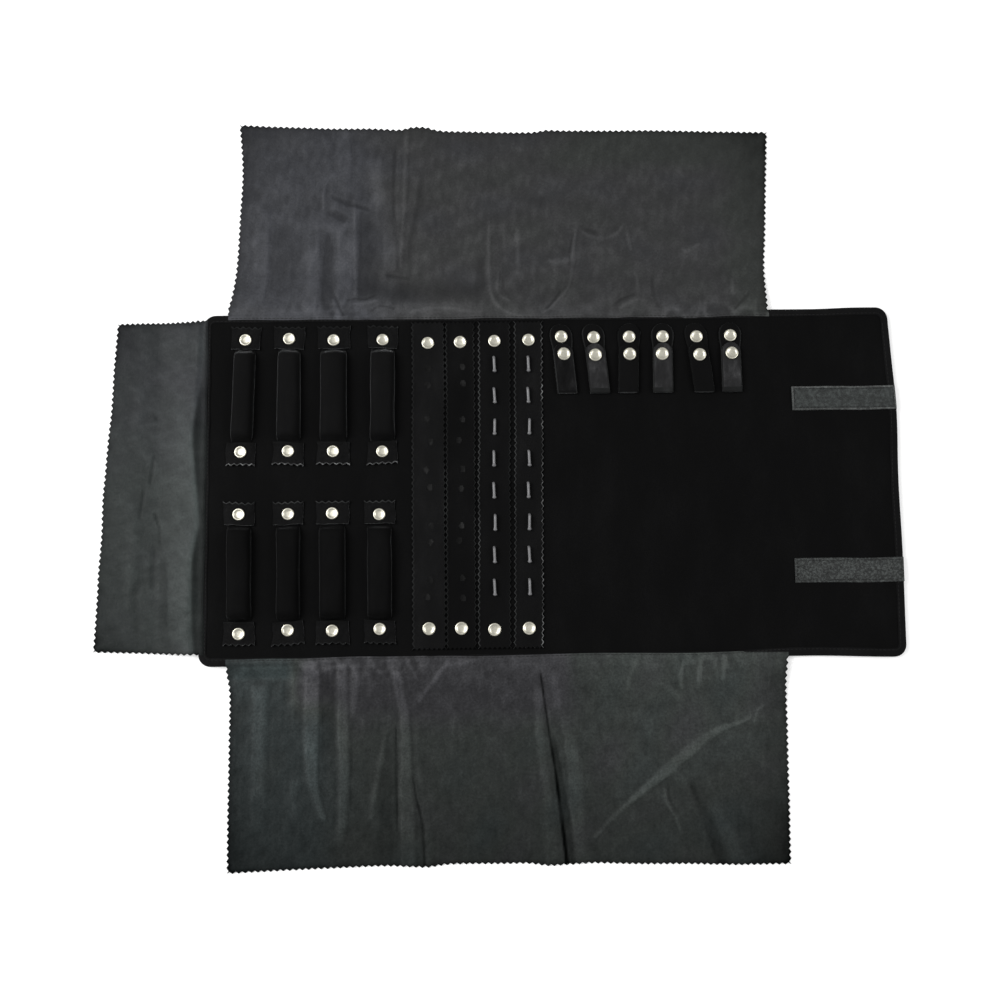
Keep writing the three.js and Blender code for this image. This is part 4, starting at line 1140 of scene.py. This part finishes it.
def stuff(pieces):
    """Fills the closed velvet tubes by cloth simulation: pressure swells them, within a small reach."""
    scene = bpy.context.scene
    for piece in pieces:
        stuffing = piece.modifiers.new("stuffing", "CLOTH")
        stuffing.settings.quality = 5
        stuffing.settings.mass = 0.02
        stuffing.settings.use_pressure = True
        stuffing.settings.uniform_pressure_force = 4
        stuffing.settings.effector_weights.gravity = 0
        stuffing.point_cache.frame_start = 1
        stuffing.point_cache.frame_end = STUFF_FRAMES
    for step in range(1, STUFF_FRAMES + 1):
        scene.frame_set(step)
    graph = bpy.context.evaluated_depsgraph_get()
    reach = STUFF_REACH * MM
    for piece in pieces:
        rest, swollen = np.empty((2, len(piece.data.vertices) * 3))
        piece.data.vertices.foreach_get("co", rest)
        piece.evaluated_get(graph).data.vertices.foreach_get("co", swollen)
        moved = (swollen - rest).reshape(-1, 3)
        away = np.linalg.norm(moved, axis=1, keepdims=True)
        moved *= reach * np.tanh(away / reach) / np.maximum(away, 1e-9)
        places = rest.reshape(-1, 3) + moved
        places[:, 2] = np.maximum(places[:, 2], (SEAT + 0.25) * MM)
        piece.data.vertices.foreach_set("co", places.ravel())
        piece.modifiers.clear()
        piece.data.update()
    scene.frame_set(1)


def subdivide(piece):
    """One level of subdivision, applied."""
    piece.modifiers.new("smooth", "SUBSURF").levels = 1
    graph = bpy.context.evaluated_depsgraph_get()
    data = bpy.data.meshes.new_from_object(piece.evaluated_get(graph))
    piece.modifiers.clear()
    piece.data = data
    data.shade_smooth()


def make_tab(name, line, inner_y, way, length, width, seed, pinked, *nodes, body=None):
    """A velvet tab: pinked along its far end, dimpled under its cap, its near end laid up on the tube."""
    draw = np.random.RandomState(seed)
    columns = tooth_cells(width)
    s, t = unit_grid(columns, TAB_ROWS, -1)
    u = s * width / 2 * (0.95 + 0.05 * t)
    v = t * (length + TAB_OVERLAP) - TAB_OVERLAP
    far = length - v
    v = v + draw.uniform(-0.06, 0.06) * u + 0.4 * ripple(u, 0 * u, seed + 3, 16)
    v = v - np.clip(1 - far / 4, 0, 1) * tooth_cut(columns)[:, None]
    u = u + 0.5 * ripple(v, u, seed, 14) * np.abs(s) ** 3
    from_cap = np.hypot(u, v - CAP_INSET)
    climb = TAB_CLIMB * smooth((2.4 - v) / 3.6)
    dimple = 0.6 * bell(from_cap, 7.2, 1.7)
    curl = 0.8 * smooth((v - length + 3.4) / 3.0) * (1 + ripple(u, v, seed + 1, 9))
    wrinkle = 0.35 * ripple(u, v, seed + 2, 7.5) * smooth((from_cap - 5) / 2)
    z = SEAT + GAP + TAB_THICKNESS + climb + dimple + curl + wrinkle - 0.6 * np.abs(s) ** 10
    y = inner_y + way * v
    points, faces = cloth(line(y) + u, y, z, TAB_THICKNESS, SEAT + LEAST_GAP, way < 0)
    # A faint painted highlight on the near row over the tube, and a cut edge with a painted highlight on the pinked
    # far end
    near, far = ([2 * (i * TAB_ROWS + j) for i in range(columns)] for j in (0, TAB_ROWS - 1))
    piece = make_mesh(name, points, faces, TAB_VELVET, 60, (FAINT_CUT_EDGE_AND_HIGHLIGHT, near), (pinked, far))
    return own(piece, "bar_velvet", *nodes, body=body)


def make_ring_bars():
    tubes = []
    for i, (width, tab_width, sewn_off, snap_off, sewn_up, snap_up) in enumerate(BARS):
        name, end_name = f"ring_bar_{i + 1}", f"ring_bar_end_{i + 1}"
        (low, high), (end_low, end_high) = corners(name), corners(end_name)
        x, hinge_y = HINGES[name + "_lift"][:2]
        way = -1 if i < 4 else 1
        tab = end_high[1] - hinge_y if way < 0 else hinge_y - end_low[1]
        whole = (high[1] - low[1]) - tab + HINGE_GAP
        far = hinge_y + way * whole
        seed = 101 + i
        line = leaning(x, hinge_y, way * whole, (sewn_off, snap_off))
        edges, left = tube_edges(way)
        skin = ring_tube(line, hinge_y, way, whole, width, high[2] - SEAT - 0.4, seed)
        # Painted highlights along both upper edges of each tube, strongest on the left edge of bar 4
        left_edge_highlight = CUT_EDGE_AND_HIGHLIGHT if i == 3 else FAINT_CUT_EDGE_AND_HIGHLIGHT
        tube = make_mesh(name + "_tube", *skin, BAR_VELVETS[i], 75, (FAINT_CUT_EDGE_AND_HIGHLIGHT, edges), (left_edge_highlight, left))
        own(tube, "bar_velvet", name)
        tubes.append((tube, name))
        sewn_name = name + "_sewn_tab"
        # The pinked ends of both tabs: cut edges with a painted highlight, paler on the upper row's snap tabs
        fixed = make_tab(sewn_name, line, hinge_y, -way, tab, tab_width, seed + 20, DIM_CUT_EDGE_HIGHLIGHT_AND_SHADE, end_name)
        bend(fixed, "root", name, *((x, hinge_y + way * off, 0) for off in BAR_BEND))
        pinked = PALE_CUT_EDGE_AND_HIGHLIGHT if i < 4 else CUT_EDGE_AND_HIGHLIGHT
        make_tab(name + "_snap_tab", line, far, way, tab, tab_width, seed + 40, pinked, body=name)
        sewn_y, snap_y = hinge_y - way * CAP_INSET + sewn_up, far + way * CAP_INSET + snap_up
        add_caps(name, line, sewn_y, snap_y, SEAT + GAP + TAB_THICKNESS, (seed, seed + 60))
    stuff([tube for tube, name in tubes])
    for tube, name in tubes:
        subdivide(tube)
        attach(tube, name)


# Strips
STRIP_COLUMNS = 28
STRIP_THICKNESS = 1.3
# Where a strip's bend starts and ends beside its hinge line
STRIP_BEND = (1.4, -2.2)
# The hooks: the first lies this far below its strip's top, the others one pitch further each
HOOK_COUNT = 8
HOOK_PITCH = 26.2
HOOK_START = 30.6
HOOK_SIDES = 12
# A hook's bend, its run along the strip, how high it stands and how deep its foot is sunk
HOOK_BEND, HOOK_RUN, HOOK_HEIGHT, HOOK_SUNK = 1.9, 11.3, 2.8, 0.8
HOOK_TURN = 0.3
# Heights above the panel's velvet: a strip's upper face, its caps and where its hooks stand
STRIP_TOP, STRIP_CAP, HOOK_FOOT = 1.65, 1.55, 1.6
# For each strip: width, how far its top and bottom lie from the CAD's line, and the tones of its two cut edges, paler
# backing with a painted highlight
STRIPS = [
    (27.8, 1.2, 0.5, DIM_CUT_EDGE_HIGHLIGHT_AND_SHADE, DIM_CUT_EDGE_HIGHLIGHT_AND_SHADE, -18.3, 17.0),
    (24.9, -0.3, -1.7, DIM_CUT_EDGE_HIGHLIGHT_AND_SHADE, DIM_CUT_EDGE_HIGHLIGHT_AND_SHADE, -17.8, 16.9),
    (27.4, 1.4, -2.0, CUT_EDGE_AND_HIGHLIGHT, DIM_CUT_EDGE_HIGHLIGHT_AND_SHADE, -17.1, 15.5),
    (24.4, 1.4, -2.5, CUT_EDGE_AND_HIGHLIGHT, PALE_CUT_EDGE_AND_HIGHLIGHT, -16.4, 16.2),
]
HOLE_ROWS = (97, 83, 53.5, 35.5, 11.5, -3, -34, -47, -77, -92)


def strip_skin(line, low, high, width, seed, holes, dimples):
    """A strip's skin, the faces of its two cut edges and those round its holes, and its area."""
    columns, rows = STRIP_COLUMNS, tooth_cells(high - low)
    s, t = unit_grid(columns, rows, -1)
    u = s * width / 2
    v = low + t * (high - low)
    side = width / 2 - np.abs(u)
    end = np.minimum(v - low, high - v)
    u = u - np.sign(s) * np.clip(1 - side / 4, 0, 1) * tooth_cut(rows)[None, :]
    v = v - np.sign(t - 0.5) * np.clip(1 - end / 4, 0, 1) * tooth_cut(columns)[:, None]
    u = u + 0.3 * ripple(v, v * 0, seed, 90)
    z = SEAT + STRIP_TOP + 0.16 * ripple(u * 2, v, seed + 1, 40) + 0.06 * ripple(u, v, seed + 3, 12)
    z = z + 0.35 * bell(side, 1.6, 1.2) * (1 + ripple(u, v, seed + 2, 14)) - 0.3 * np.exp(-side / 0.6)
    for cap_y in dimples:
        z = z + 0.4 * bell(np.hypot(u, v - cap_y), 7.2, 1.8)
    rims = []
    for hole_x, hole_y in holes:
        away = np.hypot((u - hole_x) / 1.3, (v - hole_y) / 1.5)
        rims += [2 * (i * rows + j) for i, j in zip(*np.nonzero(away[:-1, :-1] < 1.7))]
        z = z - 0.9 * np.exp(-(away**2)) + 0.5 * np.exp(-((away - 1.9) ** 2) * 1.6)
    edges = [[2 * (i * rows + j) for j in range(rows)] for i in (0, columns - 1)]
    area = width * (high - low) - TOOTH_DEPTH * (width + high - low)
    return (*cloth(line(v) + u, v, z, STRIP_THICKNESS, SEAT + LEAST_GAP), edges, rims, area)


def hook_rod(x, y, z, sway):
    """A small hook: it stands out of the strip, runs down it and ends in a knob."""
    places, radii = [], []
    for t in np.linspace(0, 1, 26):
        if t < HOOK_TURN:
            a = t / HOOK_TURN * math.pi / 2
            back, up = HOOK_BEND * (1 - math.cos(a)), (HOOK_HEIGHT + HOOK_SUNK) * math.sin(a) - HOOK_SUNK
        else:
            run = (t - HOOK_TURN) / (1 - HOOK_TURN)
            back, up = HOOK_BEND + HOOK_RUN * run, HOOK_HEIGHT - 0.7 * run
        places.append((x + sway * (t - 0.5), y - back, z + up))
        tip = math.sqrt(max(0.0, 1 - max(0, (t - 0.94) / 0.06) ** 2))
        radii.append(max(0.25, (1.1 + 0.6 * bell(t, 0.93, 0.06)) * tip))
    side = np.array([1.0, 0, 0])
    rings = []
    for place, direction, radius in zip(places, np.gradient(np.array(places), axis=0), radii):
        up = np.cross(direction / np.linalg.norm(direction), side)
        rings.append([place + radius * (cos * side + sin * up) for cos, sin in circle(HOOK_SIDES)])
    return sweep(rings)


def make_hooks(name, line, top, draw):
    for k in range(HOOK_COUNT):
        sway = draw.uniform(0.1, 0.9) * (1 if k % 3 != 2 else -0.6)
        y = top - k * HOOK_PITCH
        rod = hook_rod(line(y) + draw.uniform(-0.6, 0.6), y, SEAT + HOOK_FOOT, sway)
        own(make_mesh(f"{name}_hook_{k + 1}", *rod, HOOK_PLASTIC, 60), "hook_grey", body=name)


def make_strips():
    names = ["earring_strip_1", "earring_strip_2", "hook_strip_1", "hook_strip_2"]
    for i, (name, (width, top_off, bottom_off, low_edge, high_edge, down, up)) in enumerate(zip(names, STRIPS)):
        low, high = corners(name)[0][1], corners(name + "_end")[1][1]
        x, hinge_y = HINGES[name + "_lift"][:2]
        seed = 300 + 10 * i
        draw = np.random.RandomState(seed)
        line = leaning(x, low, high - low, (bottom_off, top_off))
        holes = []
        if name.startswith("earring"):
            holes = [(draw.uniform(-2.2, 2.2), y + draw.uniform(-1, 1)) for y in HOLE_ROWS]
        caps = (high + down, low + up)
        points, faces, edges, rims, area = strip_skin(line, low, high, width, seed, holes, caps)
        # The cut edges take paler backing with a painted highlight
        patches = (HOLE_RIM, rims), (low_edge, edges[0]), (high_edge, edges[1])
        piece = make_mesh(name + "_velvet", points, faces, STRIP_VELVETS[i], 60, *patches)
        lay_sheet(own(piece, "strip_velvet", name, name + "_end"), (width, high - low))
        bend(piece, "root", name, *((x, hinge_y + off, 0) for off in STRIP_BEND))
        add_caps(name, line, *caps, SEAT + STRIP_CAP, (seed, seed + 5), (1.04, 1.06))
        if name.startswith("hook"):
            make_hooks(name, line, high - HOOK_START, draw)


# Snap loops
LOOP_THICKNESS = 1.35
LOOP_SIDES = 24
LOOP_BOTTOM = SEAT + GAP
BASE_HEAD = 9.4
STRAP_HALF = 8.15
FOLD_RADIUS = 0.95
SEWN_INSET = 10.0
SNAP_INSET = 8.6
# Loops whose upper run is painted pale, a painted sheen
PALE_LOOPS = (1, 3, 5)
# For each loop: how far down both caps sit, and the upper one to the side
LOOP_CAPS = [(1.0, 0.4, 0.5), (1.8, 1.5, -0.5), (1.6, 1.0, 0.5), (1.6, 1.1, -0.8), (1.9, 2.0, 0), (1.1, 0.9, 0.4)]


def loop_half_width(along, length, head):
    """Half the strap's width at a distance from its fold, with a round head."""
    half = STRAP_HALF + (head - STRAP_HALF) * smooth((along - (length - 2.4 * head)) / (1.2 * head))
    rest = np.clip((along - (length - head)) / head, 0, 1)
    return half * np.sqrt(np.maximum(1 - rest**2, 0.0004))


def run_places(length, head, count):
    """Places along one run of the strap, from the fold on and close together at the tip of its round head."""
    tip = length - head * (1 - np.cos(np.linspace(0, math.pi / 2, 14)))
    return np.sort(np.concatenate([np.linspace(0.6, length - head - 2, count), tip]))


def loop_strap(fold_x, fold_y, slope, base_length, top_length, seed):
    """One strap, from its lower head down to the fold and back up to its upper head."""
    low_z = LOOP_BOTTOM + LOOP_THICKNESS / 2
    stations = []
    for along in run_places(base_length, BASE_HEAD, 18)[::-1]:
        wave = 0.12 * ripple(along, 0.0, seed, 15)
        stations.append((along, low_z + wave, loop_half_width(along, base_length, BASE_HEAD)))
    for a in np.linspace(-math.pi / 2 + 0.35, math.pi / 2 - 0.35, 9):
        stations.append((-FOLD_RADIUS * math.cos(a), low_z + FOLD_RADIUS * (1 + math.sin(a)), STRAP_HALF))
    folded = len(stations)
    puff = np.random.RandomState(seed).uniform(0.1, 0.6)
    for along in run_places(top_length, STRAP_HALF, 16):
        bulge = puff * math.sin(math.pi * min(1, along / (top_length - 12)))
        wave = 0.18 * ripple(along, 9.0, seed, 13)
        half = loop_half_width(along, top_length, STRAP_HALF)
        stations.append((along, low_z + 2 * FOLD_RADIUS + bulge + wave, half))
    path = np.array([(fold_x - slope * along, fold_y + along, z) for along, z, _ in stations])
    side = np.array([1.0, 0, 0])
    rings = []
    for place, direction, (_, _, half) in zip(path, np.gradient(path, axis=0), stations):
        up = np.cross(side, direction / max(np.linalg.norm(direction), 1e-9))
        up = up / max(np.linalg.norm(up), 1e-9) * LOOP_THICKNESS / 2 * min(1.0, half / 2.0)
        rings.append([
            place + side * signed_power(cos, 0.35) * half + up * signed_power(sin, 0.7)
            for cos, sin in circle(LOOP_SIDES)
        ])
    return (*sweep(rings), folded)


def loop_faces(count, folded, fold_band_reach):
    """The faces of the upper run, those of the fold, and those along both edges."""
    upper, fold, edges = [], [], []
    for i in range(count - 1):
        for k in range(LOOP_SIDES):
            a = 360 * (k + 0.5) / LOOP_SIDES
            if 15 < min(a % 180, 180 - a % 180) < 45:
                edges.append(i * LOOP_SIDES + k)
            elif folded - 8 < i < folded + fold_band_reach:
                fold.append(i * LOOP_SIDES + k)
            elif i >= folded:
                upper.append(i * LOOP_SIDES + k)
    return upper, fold, edges


def make_loops():
    for i, (sewn_down, snap_down, snap_side) in enumerate(LOOP_CAPS):
        body, strap_name, base_name = (f"snap_loop_{part}{i + 1}" for part in ("", "strap_", "base_"))
        x, y = HINGES[body + "_open"][:2]
        base_low, base_high = corners(base_name)
        fold_y = y + FOLD_RADIUS + LOOP_THICKNESS / 2
        base_length = base_high[1] - fold_y
        top_length = corners(strap_name)[1][1] - fold_y
        leans_right = (base_low[0] + base_high[0]) / 2 > x
        head_x = base_high[0] - SEWN_INSET if leans_right else base_low[0] + SEWN_INSET
        slope = (x - head_x) / (base_length - SEWN_INSET)
        points, faces, folded = loop_strap(x, fold_y, slope, base_length, top_length, 400 + i)
        upper, fold, edges = loop_faces(len(points) // LOOP_SIDES, folded, 1 if i in PALE_LOOPS else -2)
        # Painted light: the dark loops get a painted highlight on their fold and faint ones along their edges, the
        # first loop painted highlights on its fold and edges, and the pale loops painted shade at their fold and along
        # their edges
        tones = (LOOP_DARK, CUT_EDGE_AND_HIGHLIGHT, FAINT_CUT_EDGE_AND_HIGHLIGHT)
        if i in PALE_LOOPS or i == 0:
            tones = (LOOP_PAINTED_SHEEN if i else LOOP_MID, DIM_CUT_EDGE_HIGHLIGHT_AND_SHADE, DIM_CUT_EDGE_HIGHLIGHT_AND_SHADE)
        piece = make_mesh(body + "_velvet", points, faces, LOOP_DARK, 70, *zip(tones, (upper, fold, edges)))
        own(piece, "loop_velvet", strap_name, base_name)
        top = LOOP_BOTTOM + LOOP_THICKNESS
        bend(piece, "root", body, (x, y, top + 0.02), (x, y, top + 0.5))
        sewn, snap = base_length - SEWN_INSET - sewn_down, top_length - SNAP_INSET - snap_down
        add_cap(body + "_sewn_cap", x - slope * sewn, fold_y + sewn, top - 0.1, "root", 420 + i, 1.05)
        snap_x = x - slope * snap + snap_side
        add_cap(body + "_snap_cap", snap_x, fold_y + snap, top + 2 * FOLD_RADIUS - 0.1, body, 440 + i, 1.07)


# Closing tapes
TAPE_CELL = 0.7
TAPE_SEAM = 2.0
TAPE_STITCH = 2.8
# How far each closing tape's left and right ends lie from the CAD's
TAPE_ENDS = {"closing_tape_upper": (0.8, -0.8), "closing_tape_lower": (-2.6, -0.5)}


def tape_skin(low, high, seed, fuzz):
    """A tape with a rough face and a stitched rim, and the faces of that rim."""
    size = high - low
    columns, rows = int(size[0] / TAPE_CELL), int(size[1] / TAPE_CELL)
    s, t = unit_grid(columns, rows)
    x, y = low[0] + s * size[0], low[1] + t * size[1]
    edge = np.minimum(np.minimum(s, 1 - s) * size[0], np.minimum(t, 1 - t) * size[1])
    pile = np.random.RandomState(seed).uniform(0, fuzz, s.shape) * smooth((edge - 1.2) / 0.8)
    z = high[2] - fuzz + pile - 0.35 * bell(edge, TAPE_SEAM, 0.55) - 0.35 * np.exp(-edge / 0.5)
    y = y + 0.3 * ripple(x, y * 0, seed, 60)
    skin = shell(np.stack([x, y, z], axis=2), np.stack([x, y, 0 * z + low[2]], axis=2))
    return (*skin, cell_faces(columns, rows, 2))


def bow_out(points):
    """Lets a tape follow the bowed right edge that it reaches."""
    points = np.array(points, float)
    points[:, 0] = relaxed(points)[:, 0]
    return points


def make_outer_tape(name, material, slot, seed, fuzz):
    """A tape let into the underside of the cover, its face down."""
    low, high = corners(name)
    low[2], high[2] = -0.45, -0.02
    points, faces, rim = tape_skin(low, high, seed, fuzz)
    points[:, 2] = -points[:, 2]
    piece = make_mesh(name + "_cloth", points, [face[::-1] for face in faces], material, 80, (TAPE_EDGE, rim))
    own(piece, slot, name, body="root")


def make_closing_tape(name, material, slot, seed, fuzz, edge):
    low, high = corners(name)
    low[:2] += TAPE_ENDS[name][0], 0.3
    high[:2] += TAPE_ENDS[name][1], -0.3
    points, faces, rim = tape_skin(low, high, seed, fuzz)
    piece = make_mesh(name + "_cloth", bow_out(points), faces, material, 80, (edge, rim))
    own(piece, slot, name, body="closing_end")
    (left, bottom), (right, top) = low[:2] + TAPE_SEAM, high[:2] - TAPE_SEAM
    loop = np.array([(left, bottom), (right, bottom), (right, top), (left, top), (left, bottom)])
    places = []
    for a, b in zip(loop, loop[1:]):
        count = max(1, int(np.linalg.norm(b - a) / TAPE_STITCH))
        places += [(a + (b - a) * k / count, high[2] - 0.3) for k in range(count)]
    thread = make_stitches(name, places + places[:1], 0.2, shift=bow_out)
    own(thread, slot, body="closing_end")


def make_tapes():
    make_closing_tape("closing_tape_upper", HOOK_TAPE, "hook_tape", 500, 0.2, TAPE_EDGE)
    make_closing_tape("closing_tape_lower", LOOP_TAPE, "loop_tape", 501, 0.5, LOOP_TAPE)
    make_outer_tape("outer_tape_upper", LOOP_TAPE, "loop_tape", 502, 0.25)
    make_outer_tape("outer_tape_lower", HOOK_TAPE, "hook_tape", 503, 0.1)


make_camera()
make_stage()
make_lights()
make_panel()
make_flaps()
make_ring_bars()
make_strips()
make_loops()
make_tapes()

bpy.context.view_layer.update()
